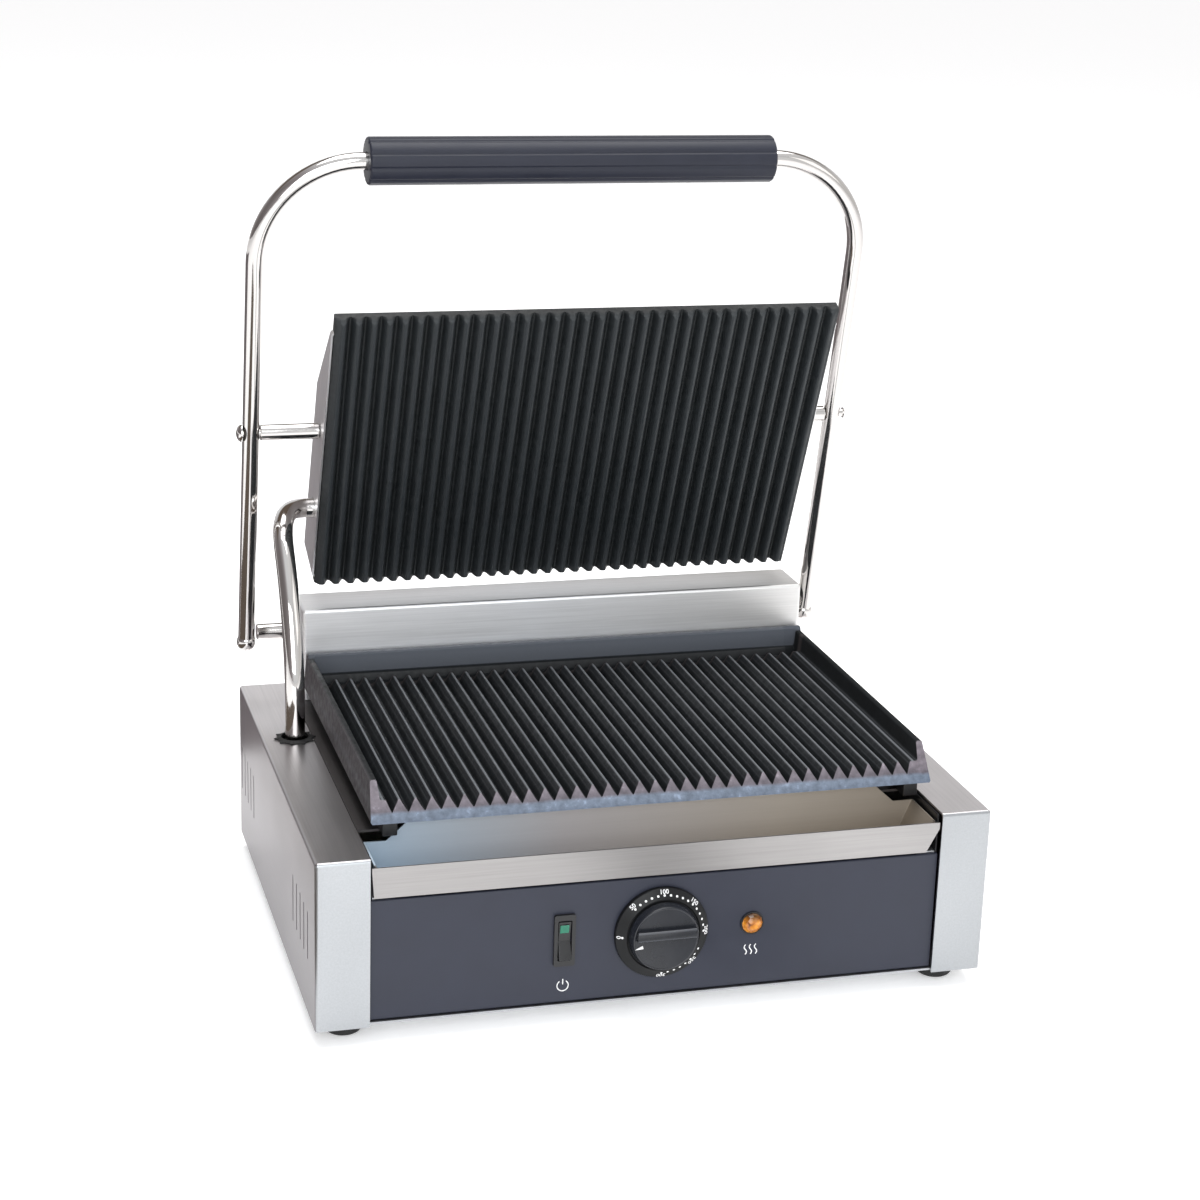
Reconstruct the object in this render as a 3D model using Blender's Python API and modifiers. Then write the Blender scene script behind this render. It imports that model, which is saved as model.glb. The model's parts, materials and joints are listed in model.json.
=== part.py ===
"""Panini press: a single contact grill with a bail handle, standing on its four feet.

X is to the right, Y to the rear, Z up, in metres. The upper plate stands open.
"""
import math

import bmesh
import bpy
from mathutils import Euler, Matrix, Vector

# ---- driving dimensions -------------------------------------------------------------
GAP = 0.0003            # clearance kept between neighbouring pieces
SHEET = 0.0015          # base sheet thickness
THIN = 0.0012           # thinner sheet: housing, upper cover, inner walls

BODY_W, BODY_D, BODY_H = 0.410, 0.304, 0.104
BODY_X, BODY_Y = 0.00325, -0.00136     # base centre, seen from the centre of the whole press
FOOT_H = 0.011
FLANGE = 0.0316         # width of each side cover seen from the front
INNER_X = 0.1720        # inner face of the inner walls
PLATE_X = 0.004         # the lower plate and the housing sit slightly right of centre
UPPER_X = 0.0053        # middle of the upper plate and its cover

LOWER_W = 0.344
LOWER_FRONT, LOWER_TOP_FRONT, LOWER_REAR = -0.1245, -0.1105, 0.1125
LOWER_Z, VALLEY_Z, TIP_Z, WALL_Z = 0.1135, 0.1190, 0.1255, 0.1358
REAR_WALL_Z = 0.1376    # the rear wall stands above the side walls
RIB_PITCH = 0.0096
LOWER_RIBS, UPPER_RIBS = 33, 34
LOWER_RIB_X, UPPER_RIB_X = 0.0032, 0.0059     # middle of each set of ribs

SHAFT_Y, SHAFT_Z, SHAFT_R = 0.1343, 0.1466, 0.00525
ARM_L, ARM_R = -0.2022, 0.1867   # centre lines of the handle's arms
ROD_R = 0.0054
HANDLE_LEAN = 11.6      # degrees forward of upright
HANDLE_S = 0.3232       # shaft axis to grip axis
BEND_R = 0.0640
BALL_R = 0.0063
GRIP_L, GRIP_R, GRIP_RAD = -0.1357, 0.1217, 0.0146

PIVOT_S = 0.1447        # shaft axis to the upper plate's pivot
PLATE_LEAN = 22.8
UPPER_W, UPPER_L = 0.3282, 0.2085
PIVOT_FROM_REAR = 0.1135
PIVOT_BACK = 0.0180     # pivot behind the rib tips
CLOSED_GAP = 0.0008     # between the two sets of rib tips when closed
COVER_BACK = 0.0405

HOLE_X, HOLE_Y, HOLE_R = -0.1845, 0.0464, 0.0100
CONDUIT_R, CONDUIT_WALL = 0.0063, 0.0010
CONDUIT_FROM_REAR, CONDUIT_BACK = 0.0518, 0.0176
BEND_FROM = 4.5         # the conduit's bend starts this many degrees of lift before the closed end
NUT_R, NUT_T = 0.0092, 0.0040

PANEL_Y = -0.1490       # front face of the control panel
PANEL_TOP = 0.0775
CONTROL_Z = 0.0430
SWITCH_X, DIAL_X, LAMP_X = -0.0587, 0.0, 0.0567
SWITCH_W, SWITCH_H = 0.0128, 0.0324
DIAL_R, DIAL_T = 0.0285, 0.0066      # the dial rises in a cone to the knob
KNOB_R, KNOB_FACE, KNOB_D = 0.0212, 0.0048, 0.0076
KNOB_BAR_UP = 0.0035                 # the finger bar lies above the knob's centre

TRAY_FRONT, TRAY_REAR = -0.1508, -0.1120
TRAY_BOTTOM, TRAY_TOP, TRAY_BACK_TOP = 0.0790, 0.0982, 0.1090

HOUSING_FRONT, HOUSING_REAR, HOUSING_TOP = 0.1140, 0.1520, 0.1660
DECK_TOP = BODY_H
GLAND_X, GLAND_Z, GLAND_R = -0.1200, 0.0380, 0.0080
SENSOR_Y = 0.0400       # where the thermostat's bulb meets the lower plate
HEX = math.cos(math.pi / 6)      # flat to corner of a hexagon


def turn(y, z, degrees):
    """Turn a (y, z) pair about the X axis."""
    angle = math.radians(degrees)
    return (y * math.cos(angle) - z * math.sin(angle), y * math.sin(angle) + z * math.cos(angle))


# The handle closes until the rib tips are CLOSED_GAP apart and the upper plate lies level.
CLOSED_LEAN = math.degrees(math.acos((TIP_Z + CLOSED_GAP + PIVOT_BACK - SHAFT_Z) / PIVOT_S))
LIFT_RANGE = CLOSED_LEAN - HANDLE_LEAN
PLATE_TURN = (90.0 - PLATE_LEAN) / LIFT_RANGE     # plate degrees for each handle degree


# ---- scene and materials ------------------------------------------------------------
def clear_scene():
    for item in list(bpy.data.objects):
        bpy.data.objects.remove(item, do_unlink=True)


clear_scene()
parts = bpy.data.collections.new("panini_press")
cutters = bpy.data.collections.new("cutters")
bpy.context.scene.collection.children.link(parts)
bpy.context.scene.collection.children.link(cutters)

STEEL = ((0.60, 0.59, 0.57), 0.32, 1.0)
CHROME = ((0.75, 0.75, 0.76), 0.08, 1.0)
IRON = ((0.020, 0.022, 0.025), 0.55, 0.3)
SLATE = ((0.060, 0.065, 0.085), 0.45, 0.1)
BLACK = ((0.015, 0.015, 0.016), 0.45, 0.0)
GRIP = ((0.045, 0.046, 0.055), 0.50, 0.0)
RUBBER = ((0.012, 0.012, 0.012), 0.80, 0.0)
AMBER = ((0.90, 0.38, 0.03), 0.20, 0.0)
ZINC = ((0.42, 0.43, 0.44), 0.45, 1.0)
BRASS = ((0.60, 0.45, 0.20), 0.35, 1.0)
CERAMIC = ((0.75, 0.72, 0.66), 0.60, 0.0)


def add_material(obj, name, look):
    color, roughness, metallic = look
    mat = bpy.data.materials.new(name)
    mat.use_nodes = True
    shader = mat.node_tree.nodes["Principled BSDF"]
    shader.inputs["Base Color"].default_value = (*color, 1.0)
    shader.inputs["Roughness"].default_value = roughness
    shader.inputs["Metallic"].default_value = metallic
    mat.diffuse_color = (*color, 1.0)
    obj.data.materials.clear()
    obj.data.materials.append(mat)


def empty(name, location, parent=None, lean=0.0):
    """An axis for what moves; lean turns it about X."""
    obj = bpy.data.objects.new(name, None)
    obj.location = location
    obj.rotation_euler = (math.radians(lean), 0.0, 0.0)
    obj.parent = parent
    parts.objects.link(obj)
    return obj


def place(obj, name, parent, look):
    """Name a finished shape, hang it on its parent and give it its own material."""
    obj.name = name
    obj.data.name = name
    obj.parent = parent
    if obj.name not in parts.objects:
        parts.objects.link(obj)
    if look is not None:
        add_material(obj, name, look)
    return obj


def as_cutter(obj, parent):
    obj.parent = parent
    parts.objects.unlink(obj)
    cutters.objects.link(obj)
    obj.hide_render = True
    obj.display_type = "WIRE"
    return obj


# ---- shapes ---------------------------------------------------------------------------
def from_bmesh(bm, location=(0, 0, 0), rotation=(0, 0, 0)):
    mesh = bpy.data.meshes.new("shape")
    bm.to_mesh(mesh)
    bm.free()
    obj = bpy.data.objects.new("shape", mesh)
    obj.location = location
    obj.rotation_euler = Euler([math.radians(angle) for angle in rotation])
    parts.objects.link(obj)
    return obj


def span_box(x, y, z):
    """A box between two limits on each axis, with its origin at its centre."""
    size = Vector((x[1] - x[0], y[1] - y[0], z[1] - z[0]))
    centre = Vector((x[0] + x[1], y[0] + y[1], z[0] + z[1])) / 2
    bm = bmesh.new()
    bmesh.ops.create_cube(bm, size=1.0, matrix=Matrix.Diagonal((*size, 1.0)))
    return from_bmesh(bm, centre)


def cylinder(radius, length, centre, axis="Z", sides=24):
    bm = bmesh.new()
    bmesh.ops.create_cone(bm, cap_ends=True, segments=sides, radius1=radius, radius2=radius, depth=length)
    rotation = {"X": (0, 90, 0), "Y": (90, 0, 0), "Z": (0, 0, 0)}[axis]
    return from_bmesh(bm, centre, rotation)


def turned(profile, location=(0, 0, 0), rotation=(0, 0, 0), steps=24, ring=False):
    """A profile of (radius, height) points, down its outer side, turned about Z."""
    mesh = bpy.data.meshes.new("turned")
    points = [(radius, 0.0, height) for radius, height in profile]
    edges = [(i, i + 1) for i in range(len(points) - 1)]
    if ring:
        edges.append((len(points) - 1, 0))
    mesh.from_pydata(points, edges, [])
    obj = bpy.data.objects.new("turned", mesh)
    obj.location = location
    obj.rotation_euler = Euler([math.radians(angle) for angle in rotation])
    parts.objects.link(obj)
    screw = obj.modifiers.new("turn", "SCREW")
    screw.steps = steps
    screw.render_steps = steps
    screw.use_merge_vertices = True
    screw.merge_threshold = 0.00001
    screw.use_smooth_shade = False
    return obj


def sleeve(outer, inner, start, end, axis_point, flange=None, steps=24):
    """A tube along X from start to end; flange is (radius, thickness) at its start."""
    length = end - start
    profile = [(outer, length), (outer, 0.0), (inner, 0.0), (inner, length)]
    if flange:
        radius, thick = flange
        profile = [(outer, length), (outer, thick), (radius, thick), (radius, 0.0), (inner, 0.0),
                   (inner, length)]
    return turned(profile, (start, *axis_point), (0, 90, 0), steps, ring=True)


def flat(outline, thickness, location, plane):
    """An outline in plane XY, XZ or YZ, with its thickness centred on location."""
    curve = bpy.data.curves.new("outline", "CURVE")
    curve.dimensions = "2D"
    curve.fill_mode = "BOTH"
    curve.extrude = thickness / 2
    spline = curve.splines.new("POLY")
    spline.points.add(len(outline) - 1)
    spline.use_cyclic_u = True
    for point, (a, b) in zip(spline.points, outline):
        point.co = (a, b, 0.0, 1.0)
    source = bpy.data.objects.new("outline", curve)
    rotation = {"XY": (0, 0, 0), "XZ": (90, 0, 0), "YZ": (90, 0, 90)}[plane]
    source.rotation_euler = Euler([math.radians(angle) for angle in rotation])
    source.location = location
    return curve_to_mesh(source)


def curve_to_mesh(source):
    """Make a curve a welded mesh, so that it can be cut or joined."""
    parts.objects.link(source)
    bpy.context.view_layer.update()
    evaluated = source.evaluated_get(bpy.context.evaluated_depsgraph_get())
    mesh = bpy.data.meshes.new_from_object(evaluated)
    obj = bpy.data.objects.new("mesh", mesh)
    obj.matrix_world = source.matrix_world.copy()
    bpy.data.objects.remove(source, do_unlink=True)
    parts.objects.link(obj)
    bm = bmesh.new()
    bm.from_mesh(mesh)
    bmesh.ops.remove_doubles(bm, verts=bm.verts, dist=0.00001)
    bmesh.ops.dissolve_degenerate(bm, dist=0.000001, edges=bm.edges)
    bmesh.ops.dissolve_limit(bm, angle_limit=0.001, verts=bm.verts, edges=bm.edges)
    bm.to_mesh(mesh)
    bm.free()
    return obj


def rod_curve(points, radius, resolution=2, caps=True):
    curve = bpy.data.curves.new("rod", "CURVE")
    curve.dimensions = "3D"
    curve.bevel_depth = radius
    curve.bevel_resolution = resolution
    curve.use_fill_caps = caps
    spline = curve.splines.new("POLY")
    spline.points.add(len(points) - 1)
    for point, target in zip(spline.points, points):
        point.co = (*target, 1.0)
    obj = bpy.data.objects.new("rod", curve)
    return obj


def round_edges(obj, width, segments=2, angle=30.0):
    bevel = obj.modifiers.new("round", "BEVEL")
    bevel.width = width
    bevel.segments = segments
    bevel.limit_method = "ANGLE"
    bevel.angle_limit = math.radians(angle)
    return obj


def boolean(obj, other, operation, parent):
    as_cutter(other, parent)
    step = obj.modifiers.new(operation.lower(), "BOOLEAN")
    step.operation = operation
    step.object = other
    step.solver = "EXACT"
    return obj


def cut(obj, other, parent):
    return boolean(obj, other, "DIFFERENCE", parent)


def join(obj, other, parent):
    return boolean(obj, other, "UNION", parent)


def folded_sheet(x, y, z, open_sides, thickness, radius):
    """A box of sheet metal, open on the named sides such as '-Z', folded with round corners."""
    obj = span_box(x, y, z)
    bm = bmesh.new()
    bm.from_mesh(obj.data)
    normals = {"-X": (-1, 0, 0), "+X": (1, 0, 0), "-Y": (0, -1, 0), "+Y": (0, 1, 0),
               "-Z": (0, 0, -1), "+Z": (0, 0, 1)}
    bm.normal_update()
    gone = [face for face in bm.faces for side in open_sides if face.normal.dot(Vector(normals[side])) > 0.9]
    bmesh.ops.delete(bm, geom=gone, context="FACES")
    folds = [edge for edge in bm.edges if not edge.is_boundary]
    bmesh.ops.bevel(bm, geom=folds, offset=radius, segments=2, profile=0.5, affect="EDGES")
    bm.to_mesh(obj.data)
    bm.free()
    return thicken(obj, thickness)


def thicken(obj, thickness):
    shell = obj.modifiers.new("thickness", "SOLIDIFY")
    shell.thickness = thickness
    shell.offset = -1.0
    shell.use_even_offset = True
    return obj


# ---- the base -------------------------------------------------------------------------
def side_cover(name, side, root):
    outer = side * BODY_W / 2
    inner = outer - side * FLANGE
    x = (min(outer, inner), max(outer, inner))
    open_sides = ("-Z", "-X" if side > 0 else "+X")
    cover = folded_sheet(x, (-BODY_D / 2, BODY_D / 2), (0.0, BODY_H), open_sides, SHEET, 0.0022)
    slots = [-0.0730 - 0.0132 * i for i in range(5)] + [0.0880 + 0.0132 * i for i in range(5)]
    for y in slots:
        slot = span_box((outer - 0.004, outer + 0.004), (y - 0.0012, y + 0.0012), (0.0345, 0.0635))
        cut(cover, slot, root)
    if side < 0:
        cut(cover, cylinder(HOLE_R, 0.02, (HOLE_X, HOLE_Y, BODY_H), sides=32), root)
    place(cover, name, root, STEEL)


def base_sheets(root):
    inset = SHEET + GAP
    floor = span_box((-BODY_W / 2 + inset, BODY_W / 2 - inset), (-BODY_D / 2 + inset, BODY_D / 2 - inset),
                     (0.0010, 0.0025))
    place(floor, "bottom_plate", root, ZINC)

    for name, side in (("inner_wall_left", -1), ("inner_wall_right", 1)):
        x = sorted((side * INNER_X, side * (INNER_X + THIN - 0.0001)))
        place(span_box(x, (PANEL_Y + 0.0018, 0.1482), (0.0028, DECK_TOP - SHEET - GAP)), name, root, BLACK)

    deck = span_box((-INNER_X - 0.0011, INNER_X + 0.0011), (-0.1080, 0.1500), (DECK_TOP - SHEET, DECK_TOP))
    for x in (PLATE_X - 0.060, PLATE_X + 0.060):
        cut(deck, cylinder(0.0050, 0.01, (x, 0.0850, DECK_TOP), sides=12), root)
    cut(deck, cylinder(0.0030, 0.01, (PLATE_X, SENSOR_Y, DECK_TOP), sides=12), root)
    place(deck, "top_deck", root, STEEL)

    rear = span_box((-INNER_X + 0.0004, INNER_X - 0.0004), (0.1485, 0.1500), (0.0028, DECK_TOP - SHEET - GAP))
    cut(rear, cylinder(0.0083, 0.02, (GLAND_X, 0.1490, GLAND_Z), "Y", 16), root)
    for row in range(5):
        z = 0.040 + 0.010 * row
        cut(rear, span_box((0.030, 0.130), (0.140, 0.160), (z - 0.0015, z + 0.0015)), root)
    place(rear, "rear_panel", root, STEEL)


def front_panel(root):
    half = INNER_X + 0.0008
    panel = span_box((-half, half), (PANEL_Y, PANEL_Y + SHEET), (0.0028, PANEL_TOP))
    window = ((SWITCH_X - 0.0055, SWITCH_X + 0.0055), (PANEL_Y - 0.01, PANEL_Y + 0.01),
              (CONTROL_Z - 0.0143, CONTROL_Z + 0.0143))
    cut(panel, span_box(*window), root)
    cut(panel, cylinder(0.0045, 0.02, (DIAL_X, PANEL_Y, CONTROL_Z), "Y", 16), root)
    cut(panel, cylinder(0.0057, 0.02, (LAMP_X, PANEL_Y, CONTROL_Z), "Y", 16), root)
    place(panel, "front_panel", root, SLATE)


def feet(root):
    top = 0.0010 - GAP          # the foot reaches up to the bottom plate, which is set inside the covers
    profile = [(0.0, top), (0.0095, top), (0.0118, -0.0030), (0.0120, -0.0060), (0.0105, -0.0095),
               (0.0080, -FOOT_H), (0.0, -FOOT_H)]
    for end, y in (("front", -0.1290), ("rear", 0.1290)):
        for side, x in (("left", -0.1850), ("right", 0.1850)):
            place(turned(profile, (x, y, 0.0), steps=20), f"foot_{end}_{side}", root, RUBBER)


# ---- the tray ---------------------------------------------------------------------------
def drip_tray(axis):
    """Built about the tray's own origin, at the middle of its front face."""
    half, rear = 0.1704, TRAY_REAR - TRAY_FRONT
    bottom, top, back = 0.0, TRAY_TOP - TRAY_BOTTOM, TRAY_BACK_TOP - TRAY_BOTTOM
    tray = folded_sheet((-half, half), (0.0, rear), (bottom, top), ("+Z",), 0.0010, 0.0012)
    outline = [(-half, 0.010), (half, 0.010), (half, top), (0.1570, top), (0.1450, back), (-0.1450, back),
               (-0.1570, top), (-half, top)]
    join(tray, flat(outline, 0.0010, (0.0, rear - 0.0005, 0.0), "XZ"), axis)
    place(tray, "drip_tray", axis, STEEL)


def tray_runners(root):
    for name, side in (("tray_runner_left", -1), ("tray_runner_right", 1)):
        outer = side * (INNER_X - GAP)
        inner = side * 0.1600
        y = (-0.1470, -0.1125)
        shelf = span_box(sorted((outer, inner)), y, (TRAY_BOTTOM - 0.0015, TRAY_BOTTOM - GAP))
        web = span_box(sorted((outer, outer - side * THIN)), y, (0.0640, TRAY_BOTTOM - 0.0010))
        join(shelf, web, root)
        place(shelf, name, root, ZINC)


# ---- the lower plate ----------------------------------------------------------------------
def rib_points(count, middle, tip, valley):
    """Tips and valleys from left to right; it starts and ends in a valley."""
    points = []
    land, foot = RIB_PITCH * 0.08, RIB_PITCH * 0.43
    for i in range(count):
        x = middle + (i - (count - 1) / 2) * RIB_PITCH
        points += [(x - foot, valley), (x - land, tip), (x + land, tip), (x + foot, valley)]
    return points


def lower_plate(root):
    half = LOWER_W / 2
    left_inner, right_inner = -half + 0.0066, half - 0.0066
    ribs = rib_points(LOWER_RIBS, LOWER_RIB_X - PLATE_X, TIP_Z, VALLEY_Z)
    outline = [(-half, LOWER_Z), (half, LOWER_Z), (half - 0.0015, WALL_Z), (half - 0.0056, WALL_Z),
               (right_inner, VALLEY_Z)]
    outline += reversed(ribs)
    outline += [(left_inner, VALLEY_Z), (-half + 0.0056, WALL_Z), (-half + 0.0015, WALL_Z)]
    depth = LOWER_REAR - LOWER_FRONT
    plate = flat(outline, depth, (PLATE_X, (LOWER_REAR + LOWER_FRONT) / 2, 0.0), "XZ")
    wall = [(LOWER_REAR - 0.0005, LOWER_Z + 0.001), (LOWER_REAR - 0.0015, REAR_WALL_Z),
            (LOWER_REAR - 0.0060, REAR_WALL_Z), (LOWER_REAR - 0.0075, TIP_Z), (0.1045, TIP_Z),
            (0.1045, LOWER_Z + 0.001)]
    join(plate, flat(wall, LOWER_W - 0.006, (PLATE_X, 0.0, 0.0), "YZ"), root)
    slope = [(LOWER_FRONT - 0.010, LOWER_Z), (LOWER_FRONT, LOWER_Z), (LOWER_TOP_FRONT, WALL_Z),
             (LOWER_TOP_FRONT + 0.001, WALL_Z + 0.004), (LOWER_FRONT - 0.010, WALL_Z + 0.004)]
    cut(plate, flat(slope, LOWER_W + 0.02, (PLATE_X, 0.0, 0.0), "YZ"), root)
    place(plate, "lower_grill_plate", root, IRON)

    for end, y in (("front", (-0.1210, -0.0960)), ("rear", (0.0850, 0.1080))):
        for side, x in (("left", -1), ("right", 1)):
            middle = PLATE_X + x * 0.1605
            support = span_box((middle - 0.0045, middle + 0.0045), y, (DECK_TOP + GAP, LOWER_Z - GAP))
            place(support, f"plate_support_{end}_{side}", root, BLACK)


def serpentine(half_width, half_depth, runs):
    """Points of a flat heater in XY: runs across X, joined by round hairpins."""
    step = 2 * half_depth / (runs - 1)
    points = []
    for run in range(runs):
        y = -half_depth + run * step
        side = 1 if run % 2 == 0 else -1
        points += [(-side * half_width, y), (side * half_width, y)]
        if run < runs - 1:
            for k in range(1, 6):
                angle = -math.pi / 2 + math.pi * k / 6
                x = side * (half_width + math.cos(angle) * step / 2)
                points.append((x, y + (1 + math.sin(angle)) * step / 2))
    return points


def lower_heating(root):
    z = LOWER_Z - 0.0004 - 0.0031
    path = [(x + PLATE_X, y - 0.010, z) for x, y in serpentine(0.105, 0.075, 4)]
    place(rod_curve(path, 0.0031), "lower_heater", root, ZINC)
    clamp = span_box((PLATE_X - 0.118, PLATE_X + 0.118), (-0.085, 0.065), (DECK_TOP + GAP, DECK_TOP + 0.0018))
    cut(clamp, cylinder(0.0030, 0.01, (PLATE_X, SENSOR_Y, DECK_TOP), sides=12), root)
    place(clamp, "lower_heater_clamp", root, STEEL)


# ---- the hinge ------------------------------------------------------------------------------
def hinge(root, handle):
    left, right = PLATE_X - 0.1720, PLATE_X + 0.1720
    housing = folded_sheet((left, right), (HOUSING_FRONT, HOUSING_REAR), (DECK_TOP + GAP, HOUSING_TOP),
                           ("-Z",), THIN, 0.0018)
    for x in (left, right):
        cut(housing, cylinder(0.0074, 0.010, (x, SHAFT_Y, SHAFT_Z), "X", 20), root)
    place(housing, "hinge_housing", root, STEEL)

    for name, face, side in (("shaft_bush_left", left, 1), ("shaft_bush_right", right, -1)):
        start = face - side * (0.0020 + GAP)
        bush = sleeve(0.0071, SHAFT_R + 0.0002, 0.0, 0.0100, (0.0, 0.0), (0.0095, 0.0020), 20)
        bush.location = (start, SHAFT_Y, SHAFT_Z)
        bush.rotation_euler = (0.0, side * math.pi / 2, 0.0)
        place(bush, name, root, BRASS)

    spring_inner = 0.0108
    springs = (("torsion_spring_left", left + 0.016, 1), ("torsion_spring_right", right - 0.016, -1))
    for name, start, side in springs:
        turns, pitch, wire = 6, 0.0031, 0.00125
        steps = turns * 12
        coil = []
        for i in range(steps + 1):
            angle = 2 * math.pi * i / 12
            coil.append((start + side * pitch * i / 12, SHAFT_Y + spring_inner * math.cos(angle),
                         SHAFT_Z + spring_inner * math.sin(angle)))
        leg = (start, SHAFT_Y + spring_inner, SHAFT_Z - 0.026)
        place(rod_curve([leg, *coil], wire, 1), name, root, ZINC)

    shaft = cylinder(SHAFT_R, ARM_R - ARM_L - 2 * (BALL_R + GAP), ((ARM_L + ARM_R) / 2, 0.0, 0.0), "X", 24)
    place(shaft, "hinge_shaft", handle, CHROME)
    for name, x in (("shaft_collar_left", left + 0.045), ("shaft_collar_right", right - 0.055)):
        collar = sleeve(0.0105, SHAFT_R + GAP, x, x + 0.010, (0.0, 0.0), None, 20)
        place(collar, name, handle, ZINC)


# ---- the handle: local Z runs up its arms ------------------------------------------------------
def handle_rod(handle):
    points = [(ARM_L, 0.0, -0.0030), (ARM_L, 0.0, PIVOT_S)]
    for centre, first in ((ARM_L + BEND_R, math.pi), (ARM_R - BEND_R, math.pi / 2)):
        for k in range(9):
            angle = first - math.pi / 2 * k / 8
            rise = HANDLE_S - BEND_R + BEND_R * math.sin(angle)
            points.append((centre + BEND_R * math.cos(angle), 0.0, rise))
    points += [(ARM_R, 0.0, PIVOT_S), (ARM_R, 0.0, -0.0030)]
    rod = curve_to_mesh(rod_curve(points, ROD_R, 4))
    for x in (ARM_L, ARM_R):
        cut(rod, cylinder(0.0029, 0.03, (x, 0.0, PIVOT_S), "X", 12), handle)
    place(rod, "handle_rod", handle, CHROME)

    flat_top = 0.0036
    start = math.acos(flat_top / BALL_R)
    profile = [(0.0, flat_top)]
    for k in range(8):
        angle = start + (math.pi - start) * k / 8
        profile.append((BALL_R * math.sin(angle), BALL_R * math.cos(angle)))
    profile.append((0.0, -BALL_R))
    for name, x in (("ball_end_left", ARM_L), ("ball_end_right", ARM_R)):
        place(turned(profile, (x, 0.0, -0.0030 - GAP - flat_top), steps=16), name, handle, CHROME)

    length = GRIP_R - GRIP_L
    bore, chamfer = ROD_R + GAP, 0.0030
    profile = [(GRIP_RAD, length - chamfer), (GRIP_RAD, chamfer), (GRIP_RAD - chamfer, 0.0), (bore, 0.0),
               (bore, length), (GRIP_RAD - chamfer, length)]
    place(turned(profile, (GRIP_L, 0.0, HANDLE_S), (0, 90, 0), 24, ring=True), "handle_grip", handle, GRIP)


def plate_pivots(pivot):
    """Screws and spacers along the plate's pivot; the plate's local origin is on that axis."""
    sides = (("left", -1, ARM_L, UPPER_X - UPPER_W / 2), ("right", 1, ARM_R, UPPER_X + UPPER_W / 2))
    for word, side, arm, face in sides:
        spacer_from, spacer_to = sorted((arm - side * (ROD_R + GAP), face + side * GAP))
        place(sleeve(0.0052, 0.0029, spacer_from, spacer_to, (0.0, 0.0), None, 16), f"pivot_spacer_{word}",
              pivot, CHROME)
        head = arm + side * (ROD_R + GAP)
        reach = abs(head - (face - side * 0.0120))
        profile = [(0.0, 0.0036), (0.0026, 0.0032), (0.0047, 0.0018), (0.0058, 0.0), (0.0025, 0.0),
                   (0.0025, -reach), (0.0, -reach)]
        place(turned(profile, (head, 0.0, 0.0), (0, side * 90, 0), 16), f"pivot_screw_{word}", pivot,
              CHROME)


# ---- the upper plate: local Z runs to its front edge, local Y away from the ribs -----------------
def hole_seen_from_plate(lift):
    """The cover hole's (y, z) on the upper plate's own axes, with the handle closed by lift degrees."""
    reach_y, reach_z = turn(0.0, PIVOT_S, HANDLE_LEAN + lift)
    away = (HOLE_Y - SHAFT_Y - reach_y, BODY_H - SHAFT_Z - reach_z)
    return turn(*away, -(PLATE_LEAN + PLATE_TURN * lift))


def conduit_path():
    """The conduit slides through the fixed hole, so it follows the hole's own path on the plate."""
    side = UPPER_X - UPPER_W / 2
    points = []
    steps = 18
    last = LIFT_RANGE - BEND_FROM
    for i in range(steps + 1):
        lift = -2.5 + (last + 2.5) * i / steps
        points.append(Vector((HOLE_X, *hole_seen_from_plate(lift))))
    start = points[-1]
    run = (points[-1] - points[-2]).normalized()
    end = Vector((side - 0.004, CONDUIT_BACK - PIVOT_BACK, CONDUIT_FROM_REAR - PIVOT_FROM_REAR))
    # one Bezier stretch, square enough to pass over the lower plate's wall when it is closed
    rise, across = 0.80 * (end - start).dot(run), 0.60 * (end.x - start.x)
    for i in range(1, 9):
        t = i / 8
        a, b, c, d = (1 - t) ** 3, 3 * t * (1 - t) ** 2, 3 * t * t * (1 - t), t ** 3
        points.append(a * start + b * (start + run * rise) + c * (end - Vector((across, 0, 0))) + d * end)
    points.append(end + Vector((0.011, 0.0, 0.0)))
    return points


def upper_cover(plate):
    side = UPPER_W / 2
    tips = -PIVOT_BACK
    front = UPPER_L - PIVOT_FROM_REAR
    rear = -PIVOT_FROM_REAR + 0.0040
    edge = tips + 0.0045
    outline = [(edge, rear), (edge, front - 0.0112), (tips + 0.0098, front - 0.0112),
               (tips + 0.0390, front - 0.071), (tips + COVER_BACK, rear)]
    cover = flat(outline, UPPER_W, (UPPER_X, 0.0, 0.0), "YZ")
    bm = bmesh.new()
    bm.from_mesh(cover.data)
    facing = [face for face in bm.faces if all(vert.co.x < edge + 0.00001 for vert in face.verts)]
    bmesh.ops.delete(bm, geom=facing, context="FACES")
    bm.to_mesh(cover.data)
    bm.free()
    round_edges(cover, 0.0022)
    thicken(cover, THIN)
    # the front strip and the rear wall stop short of the casting, so only the sides wrap it
    casting = tips + 0.0098
    inside = (UPPER_X - side + 0.0016, UPPER_X + side - 0.0016)
    for z in ((front - 0.018, front), (rear - 0.002, rear + 0.004)):
        cut(cover, span_box(inside, (edge - 0.01, casting), z), plate)
    for x in (-side, side):
        cut(cover, cylinder(0.0030, 0.012, (UPPER_X + x, 0.0, 0.0), "X", 16), plate)
    conduit_hole = (UPPER_X - side, CONDUIT_BACK - PIVOT_BACK, CONDUIT_FROM_REAR - PIVOT_FROM_REAR)
    cut(cover, cylinder(CONDUIT_R + 0.0004, 0.012, conduit_hole, "X", 20), plate)
    place(cover, "upper_cover", plate, STEEL)


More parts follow.
